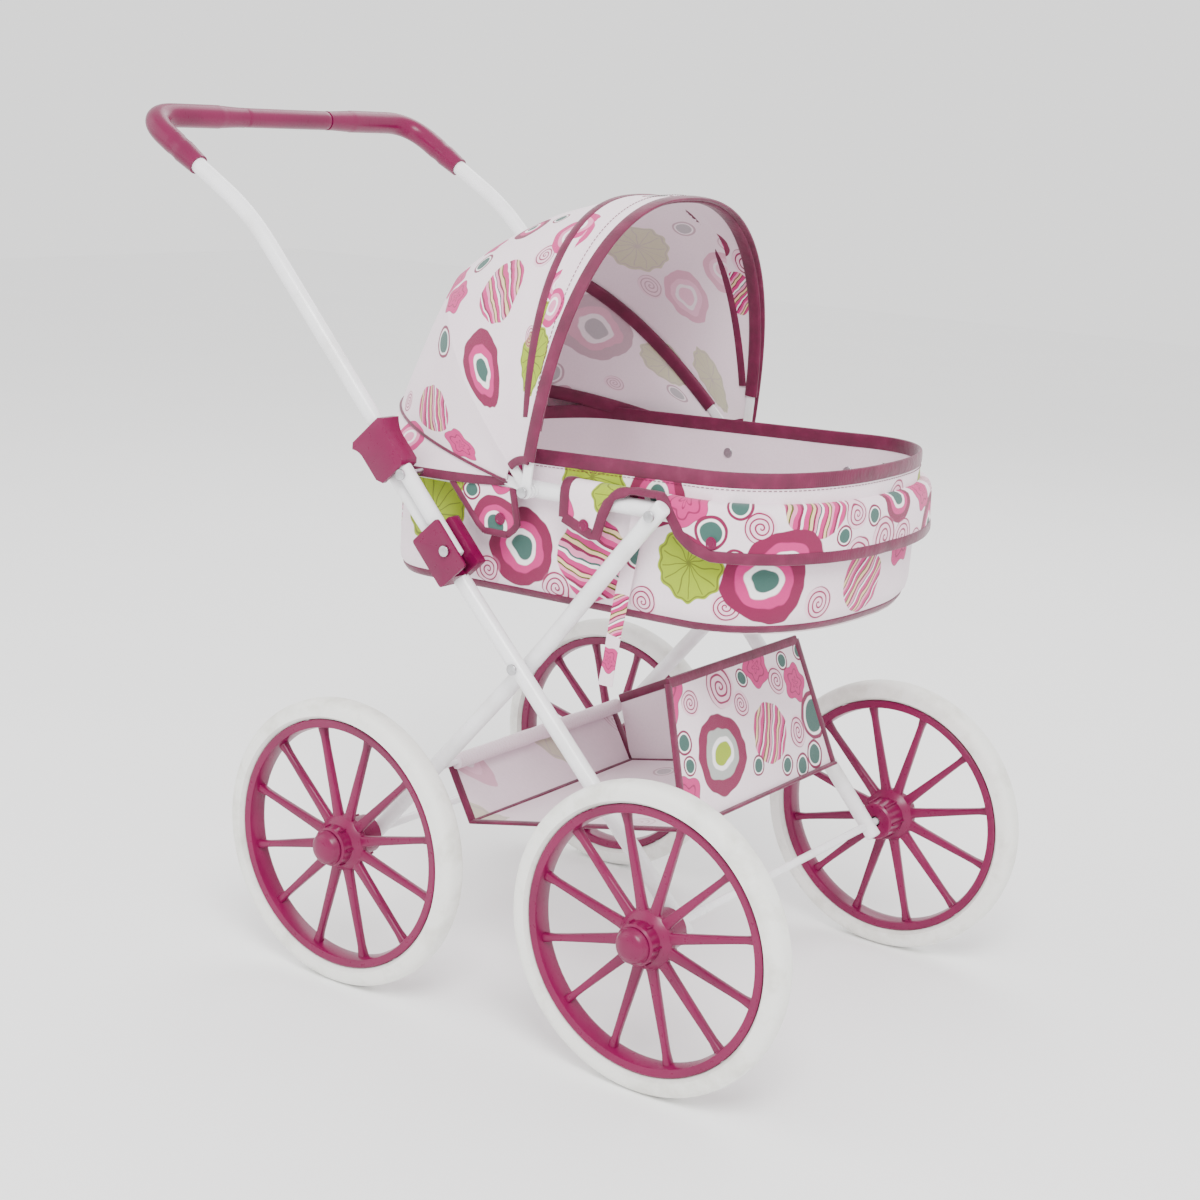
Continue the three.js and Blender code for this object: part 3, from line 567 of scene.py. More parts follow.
def plated_steel():
    """Zinc-plated steel, turned, with faint rings and dulled patches."""

    def build(sketch):
        place = object_place(sketch)
        patch = sketch.noise(place, 160, 4)
        tint = sketch.steps(patch, [(0.3, (0.42, 0.42, 0.43)), (0.7, (0.66, 0.66, 0.68))])
        rough = sketch.node("ShaderNodeMapRange", {0: patch, 3: 0.42, 4: 0.24}).outputs[0]
        return {
            "Base Color": tint, "Roughness": rough,
            "Normal": sketch.bump(sketch.noise(place, 900, 2), 0.2, 0.0002)
        }

    return finish("plated_steel", build, Metallic=1.0)


def weave(sketch, cloth, thread, strength, under=None):
    """Plain weave: threads that pass over and under each other across the cloth."""
    split = sketch.node("ShaderNodeSeparateXYZ", {0: cloth})
    waves = []
    for axis in (0, 1):
        turn = sketch.times(split.outputs[axis], 2 * math.pi / thread)
        waves.append(sketch.math("SINE", turn))
    return sketch.bump(sketch.times(*waves), strength, 0.0003, under)


def binding_tape(shade):
    """Folded satin tape with fine ribs along it, a stitched look and faded folds."""

    def build(sketch):
        place = object_place(sketch)
        wear = sketch.noise(place, 60, 4)
        dark, light = tuple(c * 0.7 for c in shade), tuple(min(1, c * 1.25 + 0.01) for c in shade)
        tint = sketch.steps(wear, [(0.3, dark), (0.55, shade), (0.8, light)])
        rib = sketch.node(
            "ShaderNodeTexWave", {"Vector": place, "Scale": 420.0, "Distortion": 1.5}
        ).outputs["Fac"]
        pucker = sketch.bump(sketch.noise(place, 130, 3), 0.45, 0.0012)
        return {"Base Color": tint, "Roughness": 0.62, "Normal": sketch.bump(rib, 0.22, 0.0003, pucker)}

    return finish("binding_tape", build, Sheen_Weight=0.3, Sheen_Roughness=0.4)


def hardboard():
    """A stiff board covered in pale cloth."""

    def build(sketch):
        place = object_place(sketch)
        cloud = sketch.noise(place, 25, 4)
        tint = sketch.steps(cloud, [(0.3, linear(196, 176, 180)), (0.7, linear(224, 208, 212))])
        return {"Base Color": tint, "Roughness": 0.85, "Normal": weave(sketch, place, 0.0014, 0.3)}

    return finish("covered_board", build, Sheen_Weight=0.2)


def studio_floor(shade):
    """A pale matt floor with the faintest mottling."""

    def build(sketch):
        place = object_place(sketch)
        tint = sketch.steps(sketch.noise(place, 3, 3), [(0.3, tuple(c * 0.985 for c in shade)), (0.7, shade)])
        return {"Base Color": tint, "Roughness": 0.9}

    return finish("studio_floor", build)


# ---- the print ----

PINK = linear(196, 36, 118)
PALE_PINK = linear(232, 138, 178)
RASPBERRY = linear(124, 0, 64)
ROSE_LINE = linear(142, 2, 74)
LIME = linear(150, 172, 0)
OLIVE = linear(84, 86, 14)
TEAL = linear(52, 92, 84)
CREAM = linear(226, 200, 150)
WHITE = linear(250, 246, 247)


def motif_tree(name, draw):
    """A node group that draws one figure of the print: draw gets the sketch and the figure's own
    x, y, distance and turn, and returns how much it covers and its colour."""
    tree = bpy.data.node_groups.new(name, "ShaderNodeTree")
    for label, kind in (
        ("Cloth", "Vector"), ("Under", "Color"), ("Centre", "Vector"), ("Size", "Float"), ("Turn", "Float"),
        ("Shake", "Vector")
    ):
        tree.interface.new_socket(label, in_out="INPUT", socket_type=f"NodeSocket{kind}")
    tree.interface.new_socket("Colour", in_out="OUTPUT", socket_type="NodeSocketColor")
    sketch = Sketch(tree)
    given = sketch.node("NodeGroupInput").outputs
    away = sketch.vector("SUBTRACT", {0: given["Cloth"], 1: given["Centre"]})
    turned_by = sketch.node(
        "ShaderNodeVectorRotate", {"Vector": away, "Angle": given["Turn"]}, rotation_type="Z_AXIS"
    ).outputs[0]
    share = sketch.math("DIVIDE", 1.0, given["Size"])
    local = sketch.vector("SCALE", {0: turned_by, 3: share})
    place = sketch.vector("ADD", {0: local, 1: given["Shake"]})
    split = sketch.node("ShaderNodeSeparateXYZ", {0: place})
    x, y = split.outputs[0], split.outputs[1]
    far = sketch.math("SQRT", sketch.math("ADD", sketch.times(x, x), sketch.times(y, y)))
    turn = sketch.math("ARCTAN2", y, x)
    cover, shade = draw(sketch, x, y, far, turn)
    result = sketch.mix(cover, given["Under"], shade)
    sketch.node("NodeGroupOutput", {0: result})
    return tree


def draw_rings(core, middle, outer):
    """Concentric ovals, like a cut stone."""

    def draw(sketch, x, y, far, turn):
        shade = sketch.steps(
            far,
            [
                (0.0, core), (0.30, core), (0.33, WHITE), (0.44, WHITE), (0.47, middle), (0.66, middle),
                (0.69, outer), (0.98, outer),
            ],
        )
        return sketch.below(far, 0.97, 0.03), shade

    return draw


def draw_spiral(sketch, x, y, far, turn):
    """A scribbled rose: a thin spiral line."""
    wound = sketch.math("SUBTRACT", sketch.times(far, 3.3), sketch.math("DIVIDE", turn, 2 * math.pi))
    off = sketch.math("ABSOLUTE", sketch.math("SUBTRACT", sketch.math("FRACT", wound), 0.5))
    line = sketch.below(off, 0.13, 0.10)
    cover = sketch.times(line, sketch.below(far, 0.95, 0.06))
    wash = sketch.times(sketch.below(far, 0.9, 0.2), 0.35)
    shade = sketch.mix(line, rgba(PALE_PINK), rgba(ROSE_LINE))
    return sketch.math("MAXIMUM", cover, wash), shade


def draw_slice(sketch, x, y, far, turn):
    """A lime slice: a scalloped disc with dark segments."""
    lobes = sketch.times(sketch.math("COSINE", sketch.times(turn, 13)), 0.035)
    edge = sketch.math("ADD", far, lobes)
    ray = sketch.math(
        "ABSOLUTE", sketch.math("SUBTRACT", sketch.math("FRACT", sketch.times(turn, 13 / (2 * math.pi))), 0.5)
    )
    thin = sketch.times(ray, far)
    lines = sketch.times(sketch.below(thin, 0.022, 0.02), sketch.below(far, 0.84, 0.04))
    rim = sketch.times(
        sketch.below(edge, 0.92, 0.02), sketch.math("SUBTRACT", 1.0, sketch.below(edge, 0.87, 0.02))
    )
    dark = sketch.math("MAXIMUM", lines, rim)
    shade = sketch.mix(sketch.times(dark, 0.75), rgba(LIME), rgba(OLIVE))
    return sketch.below(edge, 0.97, 0.03), shade


def draw_stripes(sketch, x, y, far, turn):
    """A disc of uneven stripes."""
    band = sketch.math("FRACT", sketch.math("ADD", sketch.times(x, 0.85), 0.5))
    row = [
        (0.0, PINK), (0.09, RASPBERRY), (0.15, WHITE), (0.20, PINK), (0.31, OLIVE), (0.35, CREAM),
        (0.43, RASPBERRY),
        (0.49, PALE_PINK), (0.57, TEAL), (0.60, WHITE), (0.66, PINK), (0.77, RASPBERRY), (0.81, CREAM),
        (0.88, OLIVE),
        (0.92, PALE_PINK),
    ]
    return sketch.below(far, 0.97, 0.03), sketch.steps(band, row, "CONSTANT")


def draw_petals(sketch, x, y, far, turn):
    """A pink bloom with drawn petal lines."""
    fold = sketch.times(sketch.math("SINE", sketch.times(turn, 5)), 0.11)
    edge = sketch.math("ADD", far, fold)
    ring = sketch.math(
        "ABSOLUTE", sketch.math("SUBTRACT", sketch.math("FRACT", sketch.times(edge, 2.6)), 0.5)
    )
    line = sketch.times(sketch.below(ring, 0.07, 0.06), 0.8)
    return sketch.below(edge, 0.93, 0.04), sketch.mix(line, rgba(PINK), rgba(RASPBERRY))


def draw_drop(sketch, x, y, far, turn):
    """A grey-green pebble with an outline."""
    shade = sketch.steps(
        far, [(0, TEAL), (0.62, TEAL), (0.66, WHITE), (0.76, WHITE), (0.80, RASPBERRY), (0.97, RASPBERRY)]
    )
    return sketch.below(far, 0.95, 0.04), shade


def motif_trees():
    return {
        "rings": motif_tree("print_rings", draw_rings(TEAL, PINK, RASPBERRY)),
        "agate": motif_tree("print_agate", draw_rings(PALE_PINK, PALE_PINK, PINK)),
        "fruit": motif_tree("print_fruit", draw_rings(LIME, linear(170, 174, 170), RASPBERRY)),
        "spiral": motif_tree("print_spiral", draw_spiral),
        "slice": motif_tree("print_slice", draw_slice),
        "stripes": motif_tree("print_stripes", draw_stripes),
        "petals": motif_tree("print_petals", draw_petals),
        "drop": motif_tree("print_drop", draw_drop),
    }


def printed_cloth(name, trees, figures, ground, wash=0.0, thread=0.0011):
    """Printed cotton. figures are (kind, u, v, size, turn) in metres over the cloth; wash fades the
    print, as on its reverse."""

    def build(sketch):
        cloth = sketch.node("ShaderNodeUVMap", uv_map="Cloth").outputs[0]
        place = object_place(sketch)
        stain = sketch.noise(cloth, 9, 4)
        shade = sketch.steps(
            stain, [(0.25, tuple(c * f for c, f in zip(ground, (0.95, 0.90, 0.93)))), (0.6, ground)]
        )
        wobble = sketch.node(
            "ShaderNodeTexNoise", {"Vector": cloth, "Scale": 45.0, "Detail": 1.0}
        ).outputs["Color"]
        shake = sketch.vector("SUBTRACT", {0: wobble, 1: (0.5, 0.5, 0.5)})
        shake = sketch.vector("SCALE", {0: shake, 3: 0.34})
        for kind, u, v, size, turn in figures:
            group = sketch.node("ShaderNodeGroup", node_tree=trees[kind])
            given = {
                "Cloth": cloth, "Under": shade, "Centre": (u, v, 0), "Size": size * 1.12, "Turn": turn,
                "Shake": shake
            }
            for key, value in given.items():
                sketch.put(group.inputs[key], value)
            shade = group.outputs[0]
        if wash:
            shade = sketch.mix(wash, shade, rgba(tuple(c * 0.93 for c in ground)))
        creases = sketch.noise(place, 26, 4, 0.5)
        soft = sketch.bump(creases, 0.30, 0.004)
        shade = sketch.mix(
            0.10, shade,
            sketch.steps(sketch.noise(cloth, 420, 2), [(0.3, (0.55, 0.5, 0.52)), (0.7, (1, 1, 1))]),
            "MULTIPLY"
        )
        return {"Base Color": shade, "Roughness": 0.82, "Normal": weave(sketch, cloth, thread, 0.35, soft)}

    return finish(name, build, Sheen_Weight=0.18, Sheen_Roughness=0.5)


MOST_FIGURES, FIGURE_TRIES = 34, 1500


def filled(figures, width, height, seed, gap_between=0.0015):
    """The named figures, with smaller ones of the same family put where there is room."""
    draw = random.Random(seed)
    kinds = [
        ("spiral", 0.014), ("petals", 0.022), ("slice", 0.026), ("rings", 0.030), ("stripes", 0.027),
        ("drop", 0.011), ("agate", 0.022)
    ]
    found = list(figures)
    low_u, high_u = width
    low_v, high_v = height
    for _ in range(FIGURE_TRIES):
        kind, size = draw.choice(kinds)
        size *= draw.uniform(0.7, 1.15)
        u, v = draw.uniform(low_u, high_u), draw.uniform(low_v, high_v)
        if all(math.hypot(u - f[1], v - f[2]) > (size + f[3]) * 0.98 + gap_between for f in found):
            found.append((kind, u, v, size, draw.uniform(0, 6.28)))
        if len(found) >= MOST_FIGURES:
            break
    return found


# ---- shared forms, in metres ----

RIM_Z = RIM_PIVOT.z
RIM_SIDE = 0.146
RIM_TUBE = 0.007
STRAIGHT_REAR = HOOD_PIVOT.x - 0.120
STRAIGHT_FRONT = RIM_PIVOT.x + 0.010
REAR_END, FRONT_END = 0.078, 0.100
BACK_SHARE, SIDE_SHARE = 0.16, 0.34
PLAN_POWER = 2.3
HOOD_REACH, HOOD_SIDE, HOOD_POWER = 0.218, 0.1536, 2.4
BOW_ANGLES = {"rear": 168, "middle": 134, "front": 84}
BOW_LEVELS = {"rear": 0.0, "middle": 0.0043, "front": 0.0086}
BOW_THICKNESS = 0.002
PRINT_RADIUS, PRINT_ARCH = 0.225, 0.6106
# Some outlines are given in the part's own x and z, where a rim bolt stands at (0.272, 0.443).
SHIFT_X, SHIFT_Z = RIM_PIVOT.x - 0.272, RIM_Z - 0.443


def plan_point(share, outside):
    """The carrycot's outline from above: a share of the way round it, from the back by the right side.
    The straight sides lie between BACK_SHARE and SIDE_SHARE, and the same on the left."""
    share %= 1
    mirrored = share > 0.5
    if mirrored:
        share = 1 - share
    side = RIM_SIDE + outside
    if BACK_SHARE <= share <= SIDE_SHARE:
        x = STRAIGHT_REAR + (
            STRAIGHT_FRONT - STRAIGHT_REAR
        ) * (share - BACK_SHARE) / (SIDE_SHARE - BACK_SHARE)
        y = -side
    else:
        behind = share < BACK_SHARE
        turn = share / BACK_SHARE if behind else 1 + (share - SIDE_SHARE) / (0.5 - SIDE_SHARE)
        forward, sideways = -math.cos(turn * math.pi / 2), -math.sin(turn * math.pi / 2)
        run = (REAR_END if behind else FRONT_END) + outside
        start = STRAIGHT_REAR if behind else STRAIGHT_FRONT
        x = start + run * math.copysign(abs(forward) ** (2 / PLAN_POWER), forward)
        y = side * math.copysign(abs(sideways) ** (2 / PLAN_POWER), sideways)
    return x, -y if mirrored else y


def plan_shares(count, outside, start=0.0, end=1.0):
    """Shares of the turn that stand evenly along the outline."""
    fine = np.linspace(start, end, 2400)
    points = np.array([plan_point(share, outside) for share in fine])
    run = np.r_[0, np.cumsum(np.linalg.norm(np.diff(points, axis=0), axis=1))]
    return np.interp(np.linspace(0, run[-1], count), run, fine), run[-1]


def share_at(x, outside):
    """The share of the turn at which the right side's outline passes x."""
    low, high = 0.03, 0.47
    for _ in range(40):
        share = (low + high) / 2
        low, high = (share, high) if plan_point(share, outside)[0] < x else (low, share)
    return low


def forwardness(x):
    """0 at the carrycot's back, 1 at its front."""
    back, front = STRAIGHT_REAR - REAR_END, STRAIGHT_FRONT + FRONT_END
    return min(1, max(0, (x - back) / (front - back)))


def hood_point(angle, arch, outside):
    """A point of the hood: degrees above straight ahead, a place on the arch from left to right, and how
    far it stands outside the innermost bow."""
    bend = 2 / HOOD_POWER
    radius = (HOOD_REACH + outside) * abs(math.sin(arch)) ** bend
    y = (HOOD_SIDE + outside) * math.copysign(abs(math.cos(arch)) ** bend, math.cos(arch))
    turn = math.radians(angle)
    return Vector((HOOD_PIVOT.x + radius * math.cos(turn), y, HOOD_PIVOT.z + radius * math.sin(turn)))


def arch_places(start, count):
    """Places on the arch that stand evenly along it and start so far from the pivot."""
    first = math.asin((start / HOOD_REACH) ** (HOOD_POWER / 2))
    fine = np.linspace(first, math.pi - first, 1600)
    points = np.array([hood_point(90, arch, 0) for arch in fine])
    run = np.r_[0, np.cumsum(np.linalg.norm(np.diff(points, axis=0), axis=1))]
    return np.interp(np.linspace(0, run[-1], count), run, fine)


def smooth_line(points, count, closed=False):
    """A curve through the points, as evenly spaced points."""
    points = [Vector(point) for point in points]
    size = len(points)
    found = []
    for i in range(size if closed else size - 1):
        p = [
            points[k % size] if closed else points[min(max(k, 0), size - 1)] for k in (i - 1, i, i + 1, i + 2)
        ]
        for t in np.linspace(0, 1, 24, endpoint=False):
            a = 2 * p[1] + (p[2] - p[0]) * t
            b = (2 * p[0] - 5 * p[1] + 4 * p[2] - p[3]) * t * t
            c = (3 * p[1] - p[0] - 3 * p[2] + p[3]) * t**3
            found.append((a + b + c) / 2)
    found.append(points[0] if closed else points[-1])
    line = np.array(found)
    run = np.r_[0, np.cumsum(np.linalg.norm(np.diff(line, axis=0), axis=1))]
    spots = np.linspace(0, run[-1], count, endpoint=not closed)
    return np.array([[np.interp(s, run, line[:, k]) for k in range(3)] for s in spots])


def bent_line(corners, reach, steps=14):
    """Straight stretches joined by round bends that start so far from each corner."""
    corners = [Vector(corner) for corner in corners]
    line = [corners[0]]
    for before, corner, after in zip(corners, corners[1:], corners[2:]):
        back, ahead = (before - corner), (after - corner)
        a = corner + back.normalized() * min(reach, back.length * 0.48)
        b = corner + ahead.normalized() * min(reach, ahead.length * 0.48)
        for t in np.linspace(0, 1, steps):
            line.append(a * (1 - t) ** 2 + corner * (2 * t * (1 - t)) + b * t * t)
    line.append(corners[-1])
    return line


# ---- wheels ----


def axle_of(end):
    low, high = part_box(f"{end}_axle")
    return Vector(((low.x + high.x) / 2, 0, (low.z + high.z) / 2))


def tyre_profile(radius, middle):
    """A round-shouldered tread on a seat."""
    seat, half = radius - 0.0167, 0.012
    profile = [(seat, middle - half * 0.62)]
    for turn in np.linspace(math.pi, 0, 21):
        across, up = math.cos(turn), math.sin(turn)
        y = middle + half * math.copysign(abs(across) ** 0.72, across)
        profile.append((seat + 0.003 + (radius - seat - 0.003) * up**0.55, y))
    profile.append((seat, middle + half * 0.62))
    profile.append(profile[0])
    return profile


def wheel_shapes(axle, side, radius, middle, hub, spokes):
    """Rim, tapered spokes and hub of one moulding."""
    inner, outer = hub
    seat = radius - 0.0169
    rim = [
        (seat - 0.0075, middle - 0.0070), (seat - 0.0068, middle - 0.0088), (seat - 0.0012, middle - 0.0095),
        (seat, middle - 0.0088), (seat - 0.0004, middle), (seat, middle + 0.0088),
        (seat - 0.0012, middle + 0.0095),
        (seat - 0.0068, middle + 0.0088), (seat - 0.0075, middle + 0.0070), (seat - 0.0086, middle),
        (seat - 0.0075, middle - 0.0070),
    ]
    shapes = [turned(axle, rim, 96, side)]
    barrel = [
        (0.0050, inner + 0.001), (0.0150, inner), (0.0166, inner + 0.0014), (0.0170, middle - 0.008),
        (0.0225, middle - 0.0045), (0.0240, middle - 0.0025), (0.0240, middle + 0.0025),
        (0.0225, middle + 0.0045),
        (0.0170, middle + 0.008), (0.0166, outer - 0.0014), (0.0150, outer), (0.0076, outer - 0.0002),
        (0.0074, outer - 0.0058), (0.0050, outer - 0.0060), (0.0050, inner + 0.001),
    ]
    shapes.append(turned(axle, barrel, 64, side))
    for i in range(spokes):
        turn = (i + 0.5) * 2 * math.pi / spokes
        ray = Vector((math.cos(turn), 0, math.sin(turn)))
        line, radii = [], []
        for t in np.linspace(0, 1, 9):
            reach = 0.0155 + (seat - 0.0062 - 0.0155) * t
            flare = 0.0016 * max(0, 1 - t * 7) + 0.0016 * max(0, t * 7 - 6)
            line.append(axle + ray * reach + Vector((0, side * middle, 0)))
            radii.append((0.0033 + flare * 0.6, 0.0046 * (1 - t) + 0.0024 * t + flare))
        shapes.append(swept(line, radii, 16, [(0, 1, 0)] * len(line), square=0.55))
    for i in range(6):
        turn = i * math.pi / 3
        ray = Vector((math.cos(turn), 0, math.sin(turn)))
        for near, far in ((inner + 0.003, middle - 0.004), (middle + 0.004, outer - 0.004)):
            line = [axle + ray * 0.0172 + Vector((0, side * y, 0)) for y in np.linspace(near, far, 4)]
            shapes.append(swept(line, 0.0011, 8))
    return shapes


def build_wheels(sizes, finishes):
    track, hub_length = 0.396, 0.050
    middle = track / 2
    inner = middle - hub_length * 0.62
    hub = (inner, inner + hub_length)
    for end in ("front", "rear"):
        axle = axle_of(end)
        for hand, side in SIDES.items():
            key, body = f"{end}_{hand}", f"wheel_set_{end}_{hand}"
            tread = turned(axle, tyre_profile(axle.z, middle), 160, side)
            tyre = facing_out(new_piece(f"tyre.{key}", *tread, [finishes["tyre"]], sharp=50))
            settle(tyre, body, "tyre", f"tyre_{key}")
            shapes = wheel_shapes(axle, side, axle.z, middle, hub, sizes.spokes)
            wheel = facing_out(new_piece(f"wheel.{key}", *joined(shapes), [finishes["plastic"]], sharp=32))
            settle(wheel, body, "magenta_plastic", f"wheel_{key}")
            seat = hub[1] + 0.0003
            dome = [
                (0, seat), (0.0143, seat), (0.0147, seat + 0.0008), (0.0143, seat + 0.0022),
                (0.0136, seat + 0.0030),
                (0.0130, seat + 0.0048), (0.0108, seat + 0.0070), (0.0072, seat + 0.0084),
                (0.0034, seat + 0.0089),
                (0, seat + 0.0090),
            ]
            cap = facing_out(
                new_piece(f"hub_cap.{key}", *turned(axle, dome, 48, side), [finishes["plastic"]])
            )
            settle(cap, body, "magenta_plastic", f"hub_cap_{key}")
            softened(
                f"push_nut.{key}", f"push_nut_{key}", 0.0003, finishes["steel"],
                "chassis" if end == "front" else "rear_frame", "steel"
            )
        reach = hub[1] - 0.001
        bar = [axle + Vector((0, y, 0)) for y in (-reach, -reach + 0.002, 0, reach - 0.002, reach)]
        line, radii = rounded_ends(bar, 0.0035)
        rod = new_piece(f"axle.{end}", *swept(line, radii, 24), [finishes["paint"]])
        settle(rod, "chassis" if end == "front" else "rear_frame", "white_paint", f"{end}_axle")


# ---- frame ----


def tube_piece(name, line, radius, material, body, node, sides=28):
    line, radii = rounded_ends(line, radius)
    piece = new_piece(name, *swept(line, radii, sides), [material], sharp=50)
    return settle(piece, body, "white_paint", node)


SLOPE = 1.09
UP_LEG = Vector((-1, 0, SLOPE)).normalized()
AHEAD_OF_LEG = Vector((SLOPE, 0, 1)).normalized()
TUBE_SPACING, TUBE_GAP, TUBE_END = 0.0144, 0.0012, 0.012
LEG_TOP, LEG_FOOT_Y, LEG_SPREAD = 0.222, 0.154, 0.017
HANDLE_FOOT, HANDLE_BEND = 0.107, 0.446


def along_leg(along, ahead=0.0):
    """A point beside the front leg: so far up it from the leg pivot, so far ahead of it."""
    spot = LEG_PIVOT + UP_LEG * along + AHEAD_OF_LEG * ahead
    return Vector((spot.x, 0, spot.z))


def front_leg_y(along, leg_length):
    return LEG_FOOT_Y + LEG_SPREAD * (along + leg_length) / (LEG_TOP + leg_length)


def build_frame(sizes, finishes):
    front, rear = axle_of("front"), axle_of("rear")
    leg_length = math.hypot(front.x - LEG_PIVOT.x, LEG_PIVOT.z - front.z)
    cross_y = front_leg_y(0, leg_length) - 2 * RIM_TUBE - TUBE_GAP
    top_y = RIM_SIDE + 2 * RIM_TUBE + TUBE_GAP
    uphill = Vector((RIM_PIVOT.x - rear.x, 0, RIM_Z - rear.z)).normalized()
    for hand, side in SIDES.items():
        ends = []
        for along in (-leg_length - TUBE_END, LEG_TOP):
            spot = along_leg(along)
            ends.append(Vector((spot.x, side * front_leg_y(along, leg_length), spot.z)))
        line = [ends[0].lerp(ends[1], t) for t in np.linspace(0, 1, 6)]
        tube_piece(f"front_leg.{hand}", line, RIM_TUBE, finishes["paint"], "chassis", f"front_leg_{hand}")
        half_way = (LEG_FOOT_Y + (LEG_FOOT_Y + cross_y) / 2) / 2
        high_way = (top_y + (top_y + cross_y) / 2) / 2
        cross = Vector((LEG_PIVOT.x, 0, LEG_PIVOT.z))
        top = Vector((RIM_PIVOT.x, 0, RIM_Z))
        spots = [
            (rear - uphill * TUBE_END, LEG_FOOT_Y), (rear + uphill * 0.060, half_way),
            (cross - uphill * 0.030, cross_y),
            (cross + uphill * 0.030, cross_y), (top - uphill * 0.060, high_way),
            (top - uphill * 0.014, top_y),
            (top + uphill * 0.010, top_y),
        ]
        points = [Vector((spot.x, side * y, spot.z)) for spot, y in spots]
        line = [Vector(point) for point in smooth_line(points, 60)]
        tube_piece(f"rear_leg.{hand}", line, RIM_TUBE, finishes["paint"], "rear_frame", f"rear_leg_{hand}")
        for node, width, finish_name, body, slot in (
            (f"cross_bolt_{hand}", 0.0006, "steel", "chassis", "steel"),
            (f"handle_pivot_{hand}", 0.0006, "steel", "chassis", "steel"),
            (f"rim_stud_{hand}", 0.0006, "steel", "handle", "steel"),
            (f"rim_bolt_{hand}", 0.0006, "steel", "carrycot", "steel"),
            (f"hood_bolt_{hand}", 0.0006, "steel", "carrycot", "steel"),
            (f"pivot_collar_{hand}", 0.0009, "plastic", "chassis", "magenta_plastic"),
            (f"lock_sleeve_{hand}", 0.0009, "plastic", f"lock_{hand}", "magenta_plastic"),
            (f"leg_cap_{hand}", 0.0006, "plastic", "chassis", "magenta_plastic"),
        ):
            softened(node.replace(f"_{hand}", f".{hand}"), node, width, finishes[finish_name], body, slot)
    shares, _ = plan_shares(161, 0)
    ring = [Vector((*plan_point(share, 0), RIM_Z)) for share in shares[:-1]]
    rim = new_piece(
        "carrycot_rim.tube", *swept(ring, RIM_TUBE, 24, [(0, 0, 1)] * len(ring), closed=True),
        [finishes["paint"]]
    )
    settle(rim, "carrycot", "white_paint", "carrycot_rim")
    low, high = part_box("basket_rod")
    spot = (low + high) / 2
    reach = (high.y - low.y) / 2
    rod_line = [Vector((spot.x, y, spot.z)) for y in (-reach, -reach + 0.002, 0, reach - 0.002, reach)]
    tube_piece("basket_rod.bar", rod_line, 0.0025, finishes["paint"], "rear_frame", "basket_rod", 16)


def build_handle(sizes, finishes):
    end = along_leg(HANDLE_FOOT - RIM_TUBE, TUBE_SPACING)
    bend = along_leg(HANDLE_BEND, TUBE_SPACING)
    grip_start = bend + Vector((-0.068, 0, 0.037))
    corner = grip_start + Vector((-0.060, 0, 0.038))
    side_y = 0.1745
    corners = [
        Vector((spot.x, y, spot.z))
        for spot, y in (
            (end, -side_y), (bend, -side_y), (corner, -side_y), (corner, side_y), (bend, side_y),
            (end, side_y)
        )
    ]
    line = bent_line(corners, 0.034, 18)
    tube_piece("handle_tube.loop", line, RIM_TUBE, finishes["paint"], "handle", "handle_tube")
    fine = np.array(line)
    run = np.r_[0, np.cumsum(np.linalg.norm(np.diff(fine, axis=0), axis=1))]
    total = run[-1]
    side_run = (bend - end).length
    first = side_run + math.hypot(0.068, 0.036) - 0.006
    last = total / 2 - 0.055

    def stretch(start, stop, count):
        return [
            Vector([np.interp(s, run, fine[:, k]) for k in range(3)]) for s in np.linspace(start, stop, count)
        ]

    for hand, start, stop in (("right", first, last), ("left", total - first, total - last)):
        spots = stretch(start, stop, 64)
        radii = []
        for i in range(64):
            share = i / 63
            stepped = 0.0094 + 0.0010 * min(1, share / 0.05)
            if share < 0.10:
                stepped = 0.0090 + 0.0012 * (share / 0.10)
            if share > 0.86:
                stepped = 0.0098 - 0.0008 * min(1, (share - 0.86) / 0.10)
            if 0.12 < share < 0.16 or 0.84 < share < 0.86:
                stepped = 0.0099
            radii.append(stepped)
        grip = facing_out(new_piece(f"grip.{hand}", *swept(spots, radii, 32), [finishes["grip"]], sharp=26))
        settle(grip, "handle", "magenta_plastic", f"grip_{hand}")
    spots = stretch(last + 0.0003, total - last - 0.0003, 40)
    radii = [0.0088 if 0.02 < i / 39 < 0.98 else 0.0082 for i in range(40)]
    centre = facing_out(new_piece("grip.centre", *swept(spots, radii, 32), [finishes["grip"]], sharp=26))
    settle(centre, "handle", "magenta_plastic", "grip_centre")


# ---- carrycot ----


def creases(seed, depth, scale=17.0):
    """Soft folds that gather the cloth, the same on each run."""
    offset = Vector((seed * 3.1, seed * 1.7, seed * 0.9))

    def at(point):
        spot = Vector(tuple(point)) * scale + offset
        broad = noise.noise(spot)
        folded = noise.noise(Vector((spot.x * 2.3, spot.y * 2.3, spot.z * 0.8)) + offset)
        return depth * (0.6 * broad + 0.5 * folded)

    return at


def hem_height(x):
    return RIM_Z + 0.018 + 0.014 * forwardness(x)


def floor_height(x):
    return RIM_Z - 0.0905 + 0.006 * forwardness(x)


